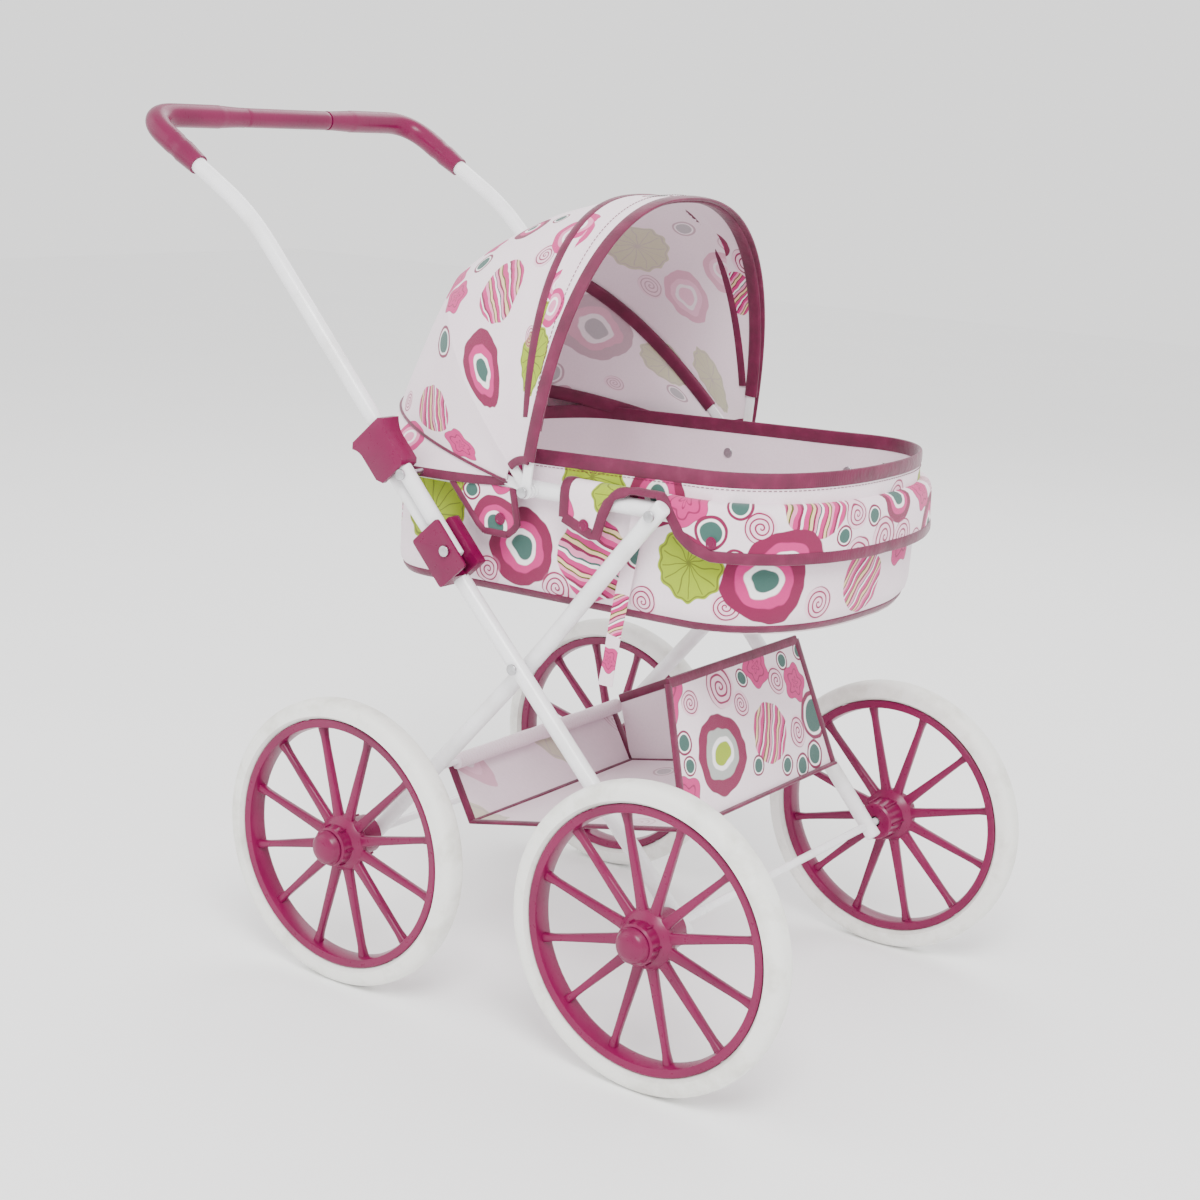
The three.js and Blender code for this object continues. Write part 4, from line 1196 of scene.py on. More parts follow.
def wall_cloth(sizes):
    shares, total = plan_shares(193, -0.003)
    shares = shares[:-1]
    count = len(shares)
    lengths = np.linspace(0, total, count + 1)
    grid = []
    bottom_outside = -0.0055
    levels = np.linspace(0, 1, 17)
    for level in levels:
        row = []
        for share in shares:
            x, _ = plan_point(share, 0)
            ahead = forwardness(x)
            top_outside = -0.0100 + 0.010 * max(0, (ahead - 0.72) / 0.28) ** 1.5
            belly = 0.0015 * math.sin(math.pi * level)
            outside = top_outside + (bottom_outside - top_outside) * level**0.8 + belly
            if level > 0.9:
                outside -= 0.006 * ((level - 0.9) / 0.1) ** 2
            px, py = plan_point(share, outside)
            row.append((px, py, hem_height(px) + (floor_height(px) - hem_height(px)) * level))
        grid.append(row)
    heights = [[point[2] for point in row] for row in grid]

    def uv(r, c):
        return lengths[c], heights[r][c % count]

    cloth = Cloth(grid, ((STRAIGHT_REAR + STRAIGHT_FRONT) / 2, 0, RIM_Z - 0.04), uv, closed=True)
    fold = creases(1, sizes.crease)

    def depth(r, c, point):
        away = min(1, levels[r] * 5) * min(1, (1 - levels[r]) * 7)
        return fold(point) * away

    return cloth.creased(depth)


def floor_cloth():
    shares, _ = plan_shares(97, -0.003)
    shares = shares[:-1]
    count = len(shares)
    middle_x = (STRAIGHT_REAR + STRAIGHT_FRONT) / 2
    grid = []
    for t in np.linspace(0, 1, 12):
        row = []
        for share in shares:
            x, y = plan_point(share, -0.0115)
            keep = 1 - 0.985 * t
            px, py = middle_x + (x - middle_x) * keep, y * keep
            row.append((px, py, floor_height(px) + 0.0008))
        grid.append(row)
    return Cloth(grid, (middle_x, 0, 1.0), lambda r, c: grid[r][c % count][:2], closed=True)


def apron_cloth(sizes):
    """The apron folds over the rim tube and hangs outside it, cut away round the rear legs' tops."""
    start = share_at(STRAIGHT_FRONT - 0.100, 0.008)
    shares, total = plan_shares(141, 0.009, start, 1 - start)
    low_x = np.array(
        [0.182, 0.203, 0.214, 0.219, 0.228, 0.246, 0.268, 0.278, 0.290, 0.301, 0.316, 0.391]
    ) + SHIFT_X
    low_z = np.array(
        [0.427, 0.419, 0.416, 0.438, 0.452, 0.4572, 0.4572, 0.448, 0.430, 0.422, 0.417, 0.417]
    ) + SHIFT_Z
    path = [
        (-0.0075, 0.0125), (-0.0040, 0.0138), (0.0010, 0.0140), (0.0055, 0.0120), (0.0083, 0.0075),
        (0.0090, 0.0010)
    ]
    rows = 16
    grid = []
    for share in shares:
        x, _ = plan_point(share, 0.009)
        bottom = float(np.interp(x, low_x, low_z)) - RIM_Z
        bottom = min(bottom, 0.0132)
        outer = [point for point in path[3:] if point[1] > bottom + 0.0006]
        last = float(
            np.interp(
                -bottom, [-0.0140, -0.0120, -0.0075, -0.0010, 0.03], [0.0012, 0.0055, 0.0083, 0.0090, 0.0092]
            )
        )
        line = np.array([*path[:3], *outer, (last, bottom)])
        run = np.r_[0, np.cumsum(np.linalg.norm(np.diff(line, axis=0), axis=1))]
        column = []
        for s in np.linspace(0, run[-1], rows):
            outside, rise = np.interp(s, run, line[:, 0]), np.interp(s, run, line[:, 1])
            px, py = plan_point(share, outside)
            column.append((px, py, RIM_Z + rise))
        grid.append(column)
    grid = [[grid[c][r] for c in range(len(shares))] for r in range(rows)]
    first = plan_shares(2, -0.003, 0, start)[1]
    lengths = first + np.linspace(0, total, len(shares))

    def uv(r, c):
        return lengths[c], grid[r][c][2]

    cloth = Cloth(grid, ((STRAIGHT_REAR + STRAIGHT_FRONT) / 2, 0, RIM_Z - 0.03), uv)
    fold = creases(2, sizes.crease * 0.5, 26)
    return cloth.creased(lambda r, c, point: fold(point) * max(0, (r - 6) / 9))


def patch_cloth(corners_uv, place):
    """A small flap: rows from top to bottom of (left, right) corners, placed in space."""
    columns = 9
    grid = []
    for left, right in corners_uv:
        grid.append(
            [
                place(left[0] + (right[0] - left[0]) * t, left[1] + (right[1] - left[1]) * t)
                for t in np.linspace(0, 1, columns)
            ]
        )
    return Cloth(grid, (HOOD_PIVOT.x, 0, RIM_Z), lambda r, c: (grid[r][c][0] + 0.4, grid[r][c][2]))


def snap(name, spot, side, finishes, body):
    """A press stud on cloth."""
    profile = [
        (0, 0), (0.0046, 0), (0.0050, 0.0004), (0.0046, 0.0011), (0.0032, 0.0015), (0.0028, 0.0011),
        (0, 0.0010)
    ]
    points, faces = turned((spot.x, 0, spot.z), [(r, abs(spot.y) + y) for r, y in profile], 32, side)
    piece = facing_out(new_piece(name, points, faces, [finishes["plastic"]]))
    return settle(piece, body, "magenta_plastic")


def squashed(piece):
    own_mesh(piece)
    return piece


def build_carrycot(sizes, finishes):
    wall = wall_cloth(sizes)
    piece = wall.piece("carrycot.wall", sizes.cloth, finishes["wall_print"], finishes["lining"])
    settle(piece, "carrycot", "printed_cloth", "carrycot_shell")
    hem = taped("carrycot.hem", [wall.edge(row=0)], sizes, finishes, 0.0040)
    piping = taped("carrycot.piping", [wall.edge(row=-1)], sizes, finishes, 0.0000, 0.0006)
    points, normals, _ = wall.edge(row=1)
    seam = stitches(points, normals, 0.0003, finishes["thread"], "carrycot.stitches")
    for trim in (hem, piping, seam):
        settle(trim, "carrycot", "printed_cloth")
        squashed(trim)
    declare(wall)
    squashed(piece)
    floor = floor_cloth()
    floor.cut_flat(0, 1)
    base = floor.piece("carrycot.floor", sizes.cloth, finishes["lining"], finishes["lining"])
    settle(base, "carrycot", "printed_cloth")
    declare(floor)
    squashed(base)
    softened("base_board.covered", "base_board", 0.0008, finishes["board"], "board", "board")

    apron = apron_cloth(sizes)
    front = apron.piece("apron.front", sizes.cloth, finishes["apron_print"], finishes["lining"])
    settle(front, "carrycot", "printed_cloth", "front_apron")
    edges = [apron.edge(row=-1), apron.edge(column=0), apron.edge(column=-1)]
    binding = settle(taped("apron.binding", edges, sizes, finishes, 0.0010), "carrycot", "printed_cloth")
    declare(apron)
    for hand, side in SIDES.items():
        for x, z, label in ((0.202, 0.4235, "rear"), (0.316, 0.427, "front")):
            spot = Vector((x + SHIFT_X, 0, z + SHIFT_Z))
            share = share_at(spot.x, 0.009)
            spot.y = side * abs(plan_point(share, 0.0094)[1])
            snap(f"apron.snap_{label}.{hand}", spot, side, finishes, "carrycot")

        def hang(x, z):
            out = 0.0086 if z < RIM_Z - 0.002 else 0.0080
            return (x, side * (RIM_SIDE + out), z)

        rows = []
        for t in np.linspace(0, 1, 9):
            z = RIM_Z - 0.001 - 0.038 * t
            left = np.interp(z - SHIFT_Z, [0.403, 0.406, 0.442], [0.106, 0.100, 0.067]) + SHIFT_X
            right = np.interp(
                z - SHIFT_Z, [0.403, 0.412, 0.435, 0.442], [0.126, 0.137, 0.132, 0.130]
            ) + SHIFT_X
            rows.append(((left, z), (right, z)))
        flap = patch_cloth(rows, hang).cut_flat(0, 2)
        tab = flap.piece(f"hood_flap.{hand}", sizes.cloth, finishes["apron_print"], finishes["lining"])
        settle(tab, "carrycot", "printed_cloth")
        edges = [flap.edge(row=-1), flap.edge(column=0), flap.edge(column=-1)]
        trim = settle(
            taped(f"hood_flap.binding.{hand}", edges, sizes, finishes, -0.0025), "carrycot", "printed_cloth"
        )
        declare(flap)
        snap(
            f"hood_flap.snap.{hand}", Vector((0.120 + SHIFT_X, side * (RIM_SIDE + 0.0090), RIM_Z - 0.027)),
            side, finishes, "carrycot"
        )

        low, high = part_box(f"tie_{hand}")
        y = side * (RIM_SIDE - 0.0006)
        rows = 26
        grid = []
        for r in range(rows):
            t = r / (rows - 1)
            x = high.x - 0.007 + (low.x + 0.007 - (high.x - 0.007)) * t
            sway = 0.0018 * math.sin(5.2 * t + side)
            half = 0.007 * (1 - 0.10 * math.sin(math.pi * t))
            grid.append(
                [
                    (
                        x + half * w, y + side * (sway * t + 0.0008 * w * math.sin(9 * t)),
                        high.z + (low.z - high.z) * t
                    )
                    for w in np.linspace(-1, 1, 5)
                ]
            )
        ribbon = Cloth(
            grid, (RIM_PIVOT.x, 0, RIM_Z - 0.1), lambda r, c, grid=grid: (grid[r][c][0] + 0.11, grid[r][c][2])
        )
        tie = ribbon.piece(f"tie.ribbon.{hand}", sizes.cloth * 0.8, finishes["tie_print"], finishes["lining"])
        settle(tie, "carrycot", "printed_cloth", f"tie_{hand}")
        declare(ribbon)
        squashed(tie)


# ---- hood ----


def hood_outside(angle):
    """How far the cloth's face stands outside the innermost bow."""
    return float(np.interp(angle, [84, 134, 168], [0.0126, 0.0086, 0.0042]))


def arch_lengths(places):
    """Distance of each place from the right foot, on the print's own scale."""
    points = np.array([hood_point(84, arch, 0.0126) for arch in places])
    run = np.r_[0, np.cumsum(np.linalg.norm(np.diff(points, axis=0), axis=1))]
    return (run[-1] - run) * (PRINT_ARCH / run[-1])


def hood_sheet(low, high, steps):
    """The taut hood between two angles, with its places and lengths along the arch and across it."""
    places = arch_places(0.024, 109)
    lengths = arch_lengths(places)
    angles = np.linspace(low, high, steps)
    taut = [[hood_point(angle, arch, hood_outside(angle)) for arch in places] for angle in angles]
    across = [PRINT_RADIUS * math.radians(angle) for angle in angles]
    return places, lengths, taut, across


def sagged(cloth, spans, sizes, seed):
    """Sinks the cloth between its bows and gathers it a little."""
    fold = creases(seed, sizes.crease * 0.75, 14)
    columns = cloth.points.shape[1]

    def depth(r, c, point):
        sunk = 0.0
        for first, last in spans:
            if first <= r <= last:
                share = (r - first) / (last - first)
                sunk = math.sin(math.pi * share)
        crown = math.sin(math.pi * c / (columns - 1)) ** 0.6
        return -sizes.hood_sag * sunk * crown + fold(point) * sunk * crown

    return cloth.creased(depth)


def polar_blend(piece):
    """Bakes the piece's transform into its mesh."""
    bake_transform(piece)
    return piece


def build_hood(sizes, finishes):
    middle = (HOOD_PIVOT.x, 0, HOOD_PIVOT.z)
    _, lengths, taut, across = hood_sheet(82.5, 134, 27)
    front = Cloth(taut, middle, lambda r, c, a=across: (a[r], lengths[c]))
    sagged(front, [(1, 26)], sizes, 3)
    cover = front.piece("hood.front", sizes.cloth, finishes["hood_print"], finishes["hood_lining"])
    polar_blend(cover)
    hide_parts("hood_panel_front", "hood_panel_middle")
    hem = taped("hood.hem", [front.edge(row=0)], sizes, finishes, 0.0030)
    settle(hem, "hood_front", "printed_cloth")
    sides_tape = taped(
        "hood.front.edges", [front.edge(column=0), front.edge(column=-1)], sizes, finishes, -0.0015
    )
    polar_blend(sides_tape)
    points, normals, _ = front.edge(row=2)
    seam = stitches(points[8:-8], normals[8:-8], 0.0003, finishes["thread"], "hood.hem.stitches")
    settle(seam, "hood_front", "printed_cloth")
    declare(front)

    places, lengths, taut, across = hood_sheet(134, 168, 17)
    last = [np.array(point) for point in taut[-1]]
    run = np.r_[0, np.cumsum([np.linalg.norm(b - a) for a, b in zip(last, last[1:])])]
    shares = run / run[-1]
    front_share = share_at(HOOD_PIVOT.x - 0.024, 0.010)
    around, _ = plan_shares(2000, 0.010, -front_share, front_share)
    skirt = []
    for t in np.linspace(0, 1, 9)[1:]:
        row = []
        for share, top in zip(shares, last):
            spot = float(np.interp(share, np.linspace(0, 1, 2000), around))
            x, y = plan_point(spot % 1, 0.0095)
            foot = np.array((x, y, RIM_Z - 0.001 + 0.005 * abs(2 * share - 1) ** 6))
            point = top + (foot - top) * t
            bulge = 0.004 * math.sin(math.pi * t) * math.sin(math.pi * share) ** 0.5
            row.append(point + np.array((-bulge, 0, bulge * 0.4)))
        skirt.append(row)
    taut = taut + skirt
    crown = len(places) // 2
    for row, before in zip(skirt, [taut[16]] + skirt):
        across.append(across[-1] + float(np.linalg.norm(np.array(row[crown]) - np.array(before[crown]))))
    rear = Cloth(taut, middle, lambda r, c, a=across: (a[r], lengths[c]))
    sagged(rear, [(0, 16)], sizes, 4)
    cover = rear.piece("hood.rear", sizes.cloth, finishes["hood_print"], finishes["hood_lining"])
    polar_blend(cover)
    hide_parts("hood_panel_rear")
    foot = taped("hood.rear.binding", [rear.edge(row=-1)], sizes, finishes, -0.0005)
    settle(foot, "carrycot", "printed_cloth")
    line, normals, _ = rear.edge(row=16)
    piping = new_piece(
        "hood.rear.piping", *swept(line + normals * 0.0006, [(0.0013, 0.0013)] * len(line), 10, normals),
        [finishes["tape"]]
    )
    settle(piping, "carrycot", "printed_cloth")
    declare(rear)

    places = arch_places(0.056, 81)
    lengths = arch_lengths(places)
    grid, across = [], []
    for row in range(7):
        line = []
        for i, arch in enumerate(places):
            depth = 0.12 + 0.88 * math.sin(math.pi * i / (len(places) - 1))
            run = 0.005 + 0.034 * depth * row / 6
            turn = math.degrees(run / (HOOD_REACH * math.sin(arch) ** (2 / HOOD_POWER)))
            line.append(hood_point(84 + turn, arch, 0.0100))
        grid.append(line)
    runs = [[PRINT_RADIUS * math.radians(84) + 0.005 + 0.034 * row / 6] * len(places) for row in range(7)]
    facing = Cloth(grid, middle, lambda r, c: (runs[r][c], lengths[c]))
    doubled = facing.piece("hood.facing", sizes.cloth, finishes["hood_print"], finishes["hood_print"])
    settle(doubled, "hood_front", "printed_cloth", "hood_facing")
    edge = settle(
        taped("hood.facing.binding", [facing.edge(row=-1)], sizes, finishes, -0.0005), "hood_front",
        "printed_cloth"
    )
    declare(facing)

    for name, angle in BOW_ANGLES.items():
        body = {"rear": "carrycot", "middle": "hood_middle", "front": "hood_front"}[name]
        softened(f"hood_bow_{name}.bar", f"hood_bow_{name}", 0.0004, finishes["paint"], body, "white_paint")
        spots = arch_places(0.048, 90)
        level = BOW_LEVELS[name] + BOW_THICKNESS / 2
        line = [hood_point(angle, arch, level) for arch in spots]
        ups = [
            tuple(Vector((point.x - HOOD_PIVOT.x, point.y * 0.6, point.z - HOOD_PIVOT.z)).normalized())
            for point in line
        ]
        channel = new_piece(
            f"hood.channel.{name}", *swept(line, [(0.0021, 0.0062)] * len(line), 14, ups, square=0.7),
            [finishes["tape"]]
        )
        settle(channel, body, "printed_cloth")


# ---- basket ----


def sheet_between(corner, rows, columns, sag, seed, sizes, uv, outward):
    """A four-sided sheet that sags between its corners: a, b along the first row, d, c along the last."""
    a, b, c, d = (np.array(tuple(point)) for point in corner)
    fold = creases(seed, sizes.crease * 0.9, 16)
    grid = []
    for s in np.linspace(0, 1, rows):
        grid.append(
            [(a * (1 - t) + b * t) * (1 - s) + (d * (1 - t) + c * t) * s for t in np.linspace(0, 1, columns)]
        )
    cloth = Cloth(grid, outward, uv(grid))

    def depth(r, c, point):
        s, t = r / (rows - 1), c / (columns - 1)
        room = math.sin(math.pi * s) * math.sin(math.pi * t)
        return sag * room + fold(point) * min(1, room * 2.5)

    return cloth.creased(depth)


def front_uv(grid):
    """The front's print runs across it and up it."""
    return lambda r, c: (grid[r][c][1], float(np.linalg.norm(grid[r][c] - grid[0][c])))


def plain_uv(grid):
    """The other panels' print runs on from one to the next."""
    return lambda r, c: (grid[r][c][0] + 0.3, grid[r][c][1] + grid[r][c][2])


def build_basket(sizes, finishes):
    low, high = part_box("basket_rod")
    rod = (low + high) / 2
    floor_rear = Vector((0.076 + SHIFT_X, 0, 0.1405))
    floor_front = Vector((0.290 + SHIFT_X, 0, 0.186))
    front_top = Vector((0.254 + SHIFT_X, 0, 0.2955))
    foot = Vector((rod.x - 0.0078, 0, rod.z))
    half, top_half = 0.120, 0.101

    def at(spot, y):
        return Vector((spot.x, y, spot.z))

    inside = (floor_front.x - 0.08, 0, 0.23)
    panels = {
        "front": (
            [
                at(floor_front, -half), at(floor_front, half), at(front_top, top_half),
                at(front_top, -top_half)
            ],
            22, 40, 0.006
        ),
        "floor": (
            [at(floor_rear, -half), at(floor_rear, half), at(floor_front, half), at(floor_front, -half)], 30,
            40, 0.007
        ),
        "rear": (
            [at(foot, -half), at(foot, half), at(floor_rear, half), at(floor_rear, -half)], 12, 40, 0.003
        ),
        "side": (
            [
                at(floor_rear, half), at(floor_front, half), at(front_top, top_half),
                at(Vector((rod.x + 0.004, 0, rod.z + 0.008)), half)
            ],
            22, 36, 0.004
        ),
    }
    made = {}
    for seed, (name, (corners, rows, columns, sag)) in enumerate(panels.items()):
        uv = front_uv if name == "front" else plain_uv
        cloth = sheet_between(corners, rows, columns, sag, 10 + seed, sizes, uv, inside)
        outer = finishes["basket_print" if name == "front" else "basket_plain"]
        piece = cloth.piece(f"basket.{name}", sizes.cloth, outer, finishes["lining"])
        made[name] = (piece, cloth)
    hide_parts("basket")
    edges = {
        "front": [
            made["front"][1].edge(row=-1), made["front"][1].edge(column=0), made["front"][1].edge(column=-1)
        ],
        "floor": [
            made["floor"][1].edge(column=0), made["floor"][1].edge(column=-1), made["floor"][1].edge(row=-1),
            made["floor"][1].edge(row=0)
        ],
        "side": [made["side"][1].edge(row=-1)],
        "rear": [made["rear"][1].edge(column=0), made["rear"][1].edge(column=-1)],
    }
    for name, (piece, cloth) in made.items():
        trim = taped(f"basket.{name}.binding", edges[name], sizes, finishes)
        declare(cloth)
        for part in (piece, trim):
            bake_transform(part)
    line = [Vector((rod.x, y, rod.z)) for y in np.linspace(-half, half, 60)]
    radii = [0.0066 + 0.0006 * noise.noise(Vector((0, y.y * 55, 3))) for y in line]
    sleeve = new_piece("basket.sleeve", *swept(line, radii, 28), [finishes["basket_plain"]])
    settle(sleeve, "rear_frame", "printed_cloth")


# ---- stage ----


def build_stage(sizes, finishes):
    mesh = bpy.data.meshes.new("floor")
    reach = 6.0
    mesh.from_pydata(
        [(-reach, -reach, 0), (reach, -reach, 0), (reach, reach, 0), (-reach, reach, 0)], [], [(0, 1, 2, 3)]
    )
    mesh.materials.append(finishes["floor"])
    floor = bpy.data.objects.new("floor", mesh)
    bpy.context.scene.collection.objects.link(floor)

    world = bpy.data.worlds.new("studio")
    world.use_nodes = True
    light = next(node for node in world.node_tree.nodes if node.type == "BACKGROUND")
    light.inputs["Color"].default_value = (1.0, 0.995, 0.99, 1)
    light.inputs["Strength"].default_value = 1.55
    bpy.context.scene.world = world

    for name, place, size, power in (
        ("key", (1.3, -1.6, 2.4), 1.2, 85),
        ("fill", (-1.8, -1.4, 1.5), 2.0, 14),
        ("back", (-0.6, 1.9, 2.1), 1.6, 22),
    ):
        lamp = bpy.data.lights.new(name, "AREA")
        lamp.energy, lamp.size = power, size
        thing = bpy.data.objects.new(name, lamp)
        thing.location = place
        aim = Vector((0, 0, 0.36)) - Vector(place)
        thing.rotation_mode = "QUATERNION"
        thing.rotation_quaternion = aim.to_track_quat("-Z", "Y")
        bpy.context.scene.collection.objects.link(thing)


def build_camera():
    camera = bpy.data.cameras.new("camera")
    camera.sensor_width, camera.lens = 36.0, 62.7
    camera.clip_start, camera.clip_end = 0.05, 50
    thing = bpy.data.objects.new("camera", camera)
    yaw, pitch, roll = math.radians(124.72), math.radians(-13.3), math.radians(2.98)
    aim = Vector((math.cos(pitch) * math.cos(yaw), math.cos(pitch) * math.sin(yaw), math.sin(pitch)))
    thing.location = (1.0427, -1.454, 0.7408)
    thing.rotation_mode = "QUATERNION"
    thing.rotation_quaternion = aim.to_track_quat("-Z", "Y") @ Quaternion((0, 0, 1), roll)
    bpy.context.scene.collection.objects.link(thing)
    bpy.context.scene.camera = thing


# ---- where the print's figures lie ----

HOOD_FIGURES = [
    ("stripes", 0.444, 0.152, 0.0285, 0.4), ("petals", 0.514, 0.177, 0.0160, 0.0),
    ("spiral", 0.393, 0.177, 0.0110, 1.0),
    ("rings", 0.485, 0.086, 0.0330, 0.6), ("slice", 0.367, 0.080, 0.0260, 0.2),
    ("drop", 0.544, 0.143, 0.0150, 0.0),
    ("stripes", 0.620, 0.113, 0.0260, 2.1), ("petals", 0.634, 0.060, 0.0210, 0.8),
    ("spiral", 0.644, 0.166, 0.0100, 2.0),
    ("spiral", 0.381, 0.100, 0.0085, 3.0), ("agate", 0.371, 0.198, 0.0195, 0.0),
    ("rings", 0.440, 0.236, 0.0160, 1.3),
    ("petals", 0.524, 0.211, 0.0166, 2.2), ("petals", 0.481, 0.234, 0.0120, 0.3),
    ("stripes", 0.353, 0.508, 0.0230, 0.9),
    ("rings", 0.369, 0.447, 0.0190, 0.2),
]
LINING_FIGURES = [
    ("slice", 0.448, 0.410, 0.0300, 0.0), ("rings", 0.565, 0.447, 0.0360, 0.9),
    ("spiral", 0.473, 0.456, 0.0125, 0.0),
    ("spiral", 0.624, 0.490, 0.0100, 1.0), ("spiral", 0.351, 0.429, 0.0100, 2.0),
    ("agate", 0.434, 0.480, 0.0265, 0.3),
    ("slice", 0.542, 0.524, 0.0270, 1.1),
]
WALL_FIGURES = [
    ("slice", 0.1883, 0.4111, 0.0280, 0.0), ("rings", 0.2809, 0.3926, 0.0290, 0.5),
    ("spiral", 0.2476, 0.3688, 0.0115, 0.0),
    ("spiral", 0.3169, 0.3645, 0.0130, 1.0), ("spiral", 0.4001, 0.3693, 0.0110, 2.0),
    ("spiral", 0.5514, 0.3778, 0.0117, 3.0),
    ("spiral", 0.4724, 0.3756, 0.0100, 4.0), ("stripes", 0.3523, 0.3949, 0.0316, 1.8),
    ("stripes", 0.6041, 0.3905, 0.0240, 0.7),
    ("slice", 0.4406, 0.4053, 0.0260, 0.3), ("rings", 0.5015, 0.3976, 0.0306, 1.9),
]
APRON_FIGURES = [
    ("slice", 0.3822, 0.4494, 0.0220, 0.0), ("petals", 0.4408, 0.4558, 0.0180, 0.0),
    ("spiral", 0.5022, 0.4408, 0.0113, 0.0),
    ("spiral", 0.5904, 0.4479, 0.0110, 1.0), ("stripes", 0.5506, 0.4586, 0.0260, 0.3),
    ("rings", 0.5255, 0.4081, 0.0300, 0.0),
    ("rings", 0.6515, 0.4549, 0.0190, 1.0),
]
BASKET_FIGURES = [
    ("fruit", -0.051, 0.047, 0.0300, 0.0), ("stripes", 0.023, 0.048, 0.0240, 0.5),
    ("spiral", 0.052, 0.089, 0.0113, 0.0),
    ("spiral", -0.034, 0.100, 0.0167, 1.0), ("drop", 0.101, 0.048, 0.0197, 0.0),
    ("spiral", -0.079, 0.096, 0.0098, 2.0),
]


def make_finishes(colours):
    """Every material of the pram, by name."""
    trees = motif_trees()
    ground = tuple(colours.ground)
    tape = tuple(colours.tape)
    plastic = tuple(colours.plastic)
    hood = filled(HOOD_FIGURES, (0.33, 0.82), (0.02, 0.60), 5)
    lining = filled(LINING_FIGURES, (0.33, 0.82), (0.02, 0.60), 6)
    wall = filled(WALL_FIGURES, (0.02, 1.15), (0.36, 0.46), 7)
    apron = filled(APRON_FIGURES, (0.30, 0.95), (0.41, 0.46), 8)
    basket = filled(BASKET_FIGURES, (-0.12, 0.12), (0.01, 0.11), 9)
    loose = filled([], (0.0, 0.6), (0.0, 0.6), 11)
    return {
        "paint": painted_tube(tuple(colours.tube)),
        "plastic": moulded_plastic("magenta_plastic", plastic),
        "grip": moulded_plastic("grip_plastic", tuple(c * 0.92 for c in plastic)),
        "tyre": foam_tyre(tuple(colours.tyre)),
        "steel": plated_steel(),
        "tape": binding_tape(tape),
        "thread": moulded_plastic("stitching_thread", tuple(min(1, c * 1.2) for c in tape)),
        "board": hardboard(),
        "floor": studio_floor(tuple(colours.floor)),
        "hood_print": printed_cloth("hood_print", trees, hood, ground),
        "hood_lining": printed_cloth("hood_lining", trees, lining, ground, 0.52),
        "wall_print": printed_cloth("wall_print", trees, wall, ground),
        "apron_print": printed_cloth("apron_print", trees, apron, ground),
        "basket_print": printed_cloth("basket_print", trees, basket, ground),
        "basket_plain": printed_cloth("basket_outside", trees, loose, ground),
        "tie_print": printed_cloth(
            "tie_print", trees,
            [
                ("drop", 0.279, 0.405, 0.011, 0), ("stripes", 0.266, 0.355, 0.016, 1),
                ("petals", 0.257, 0.318, 0.010, 0)
            ],
            ground
        ),
        "lining": printed_cloth("plain_lining", trees, loose, ground, 0.60),
    }


# ---- add-on ----

FINISHES = {}


class BuildStep:
    """Makes one piece or group of like pieces, by the build function of the operator."""

    bl_options = {"REGISTER", "UNDO"}

    def execute(self, context):
        self.build(context.scene.pram_sizes, FINISHES)
        self.report({"INFO"}, f"{self.bl_label} made")
        return {"FINISHED"}


class PRAM_OT_set_stage(BuildStep, bpy.types.Operator):
    """Make the floor and the studio light"""

    bl_idname = "pram.set_stage"
    bl_label = "Set Stage"
    build = staticmethod(build_stage)


class PRAM_OT_build_wheels(BuildStep, bpy.types.Operator):
    """Make the tyres, wheels, hub caps and axles"""

    bl_idname = "pram.build_wheels"
    bl_label = "Build Wheels"
    build = staticmethod(build_wheels)


class PRAM_OT_build_frame(BuildStep, bpy.types.Operator):
    """Make the legs, rim, collars, sleeves and bolts"""

    bl_idname = "pram.build_frame"
    bl_label = "Build Frame"
    build = staticmethod(build_frame)


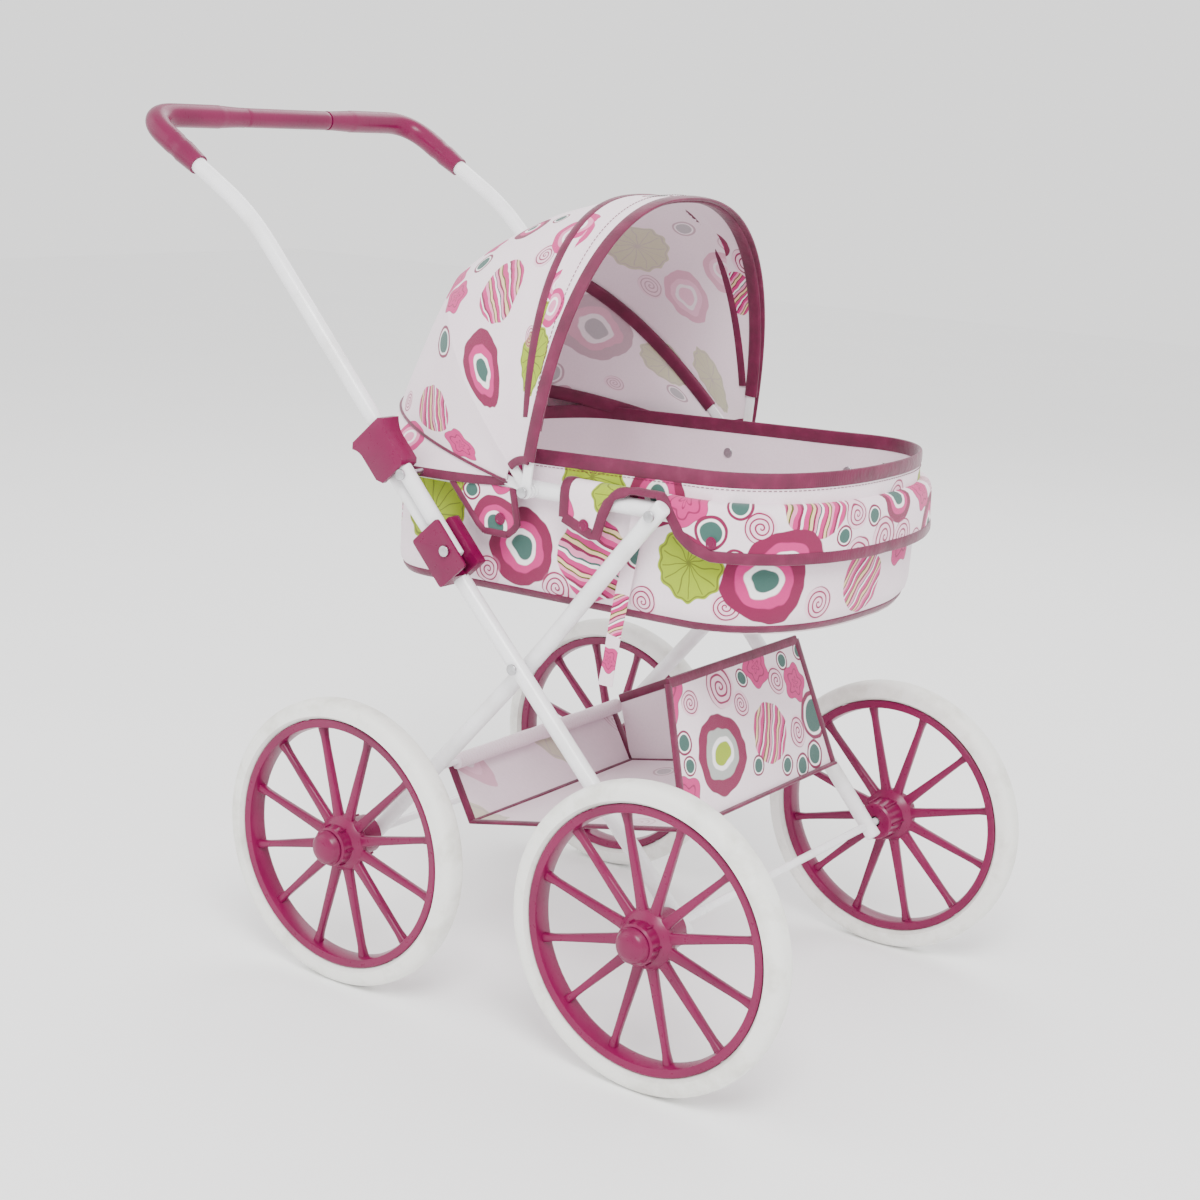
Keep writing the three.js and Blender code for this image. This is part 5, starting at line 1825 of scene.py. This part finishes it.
class PRAM_OT_build_handle(BuildStep, bpy.types.Operator):
    """Make the handle tube and its grips"""

    bl_idname = "pram.build_handle"
    bl_label = "Build Handle"
    build = staticmethod(build_handle)


class PRAM_OT_build_carrycot(BuildStep, bpy.types.Operator):
    """Make the carrycot's walls, floor, apron, flaps and ties"""

    bl_idname = "pram.build_carrycot"
    bl_label = "Build Carrycot"
    build = staticmethod(build_carrycot)


class PRAM_OT_build_hood(BuildStep, bpy.types.Operator):
    """Make the hood's bows, cloth and facing"""

    bl_idname = "pram.build_hood"
    bl_label = "Build Hood"
    build = staticmethod(build_hood)


class PRAM_OT_build_basket(BuildStep, bpy.types.Operator):
    """Make the sling basket"""

    bl_idname = "pram.build_basket"
    bl_label = "Build Basket"
    build = staticmethod(build_basket)


OPERATORS = [
    PRAM_OT_set_stage,
    PRAM_OT_build_wheels,
    PRAM_OT_build_frame,
    PRAM_OT_build_handle,
    PRAM_OT_build_carrycot,
    PRAM_OT_build_hood,
    PRAM_OT_build_basket,
]


class PRAM_PT_sidebar(bpy.types.Panel):
    """Sizes, colours and build steps of the doll pram"""

    bl_label = "Doll Pram"
    bl_idname = "PRAM_PT_sidebar"
    bl_space_type = "VIEW_3D"
    bl_region_type = "UI"
    bl_category = "Doll Pram"

    def draw(self, context):
        for group in (context.scene.pram_sizes, context.scene.pram_colours):
            column = self.layout.column()
            for key in group.__annotations__:
                column.prop(group, key)
        for operator in OPERATORS:
            self.layout.operator(operator.bl_idname)


CLASSES = [PramSizes, PramColours, *OPERATORS, PRAM_PT_sidebar]


def register():
    for item in CLASSES:
        bpy.utils.register_class(item)
    bpy.types.Scene.pram_sizes = PointerProperty(type=PramSizes)
    bpy.types.Scene.pram_colours = PointerProperty(type=PramColours)


def unregister():
    del bpy.types.Scene.pram_sizes
    del bpy.types.Scene.pram_colours
    for item in reversed(CLASSES):
        bpy.utils.unregister_class(item)


def main():
    register()
    build_camera()
    FINISHES.update(make_finishes(bpy.context.scene.pram_colours))
    for operator in OPERATORS:
        group, step = operator.bl_idname.split(".")
        getattr(getattr(bpy.ops, group), step)()


if __name__ == "__main__":
    main()
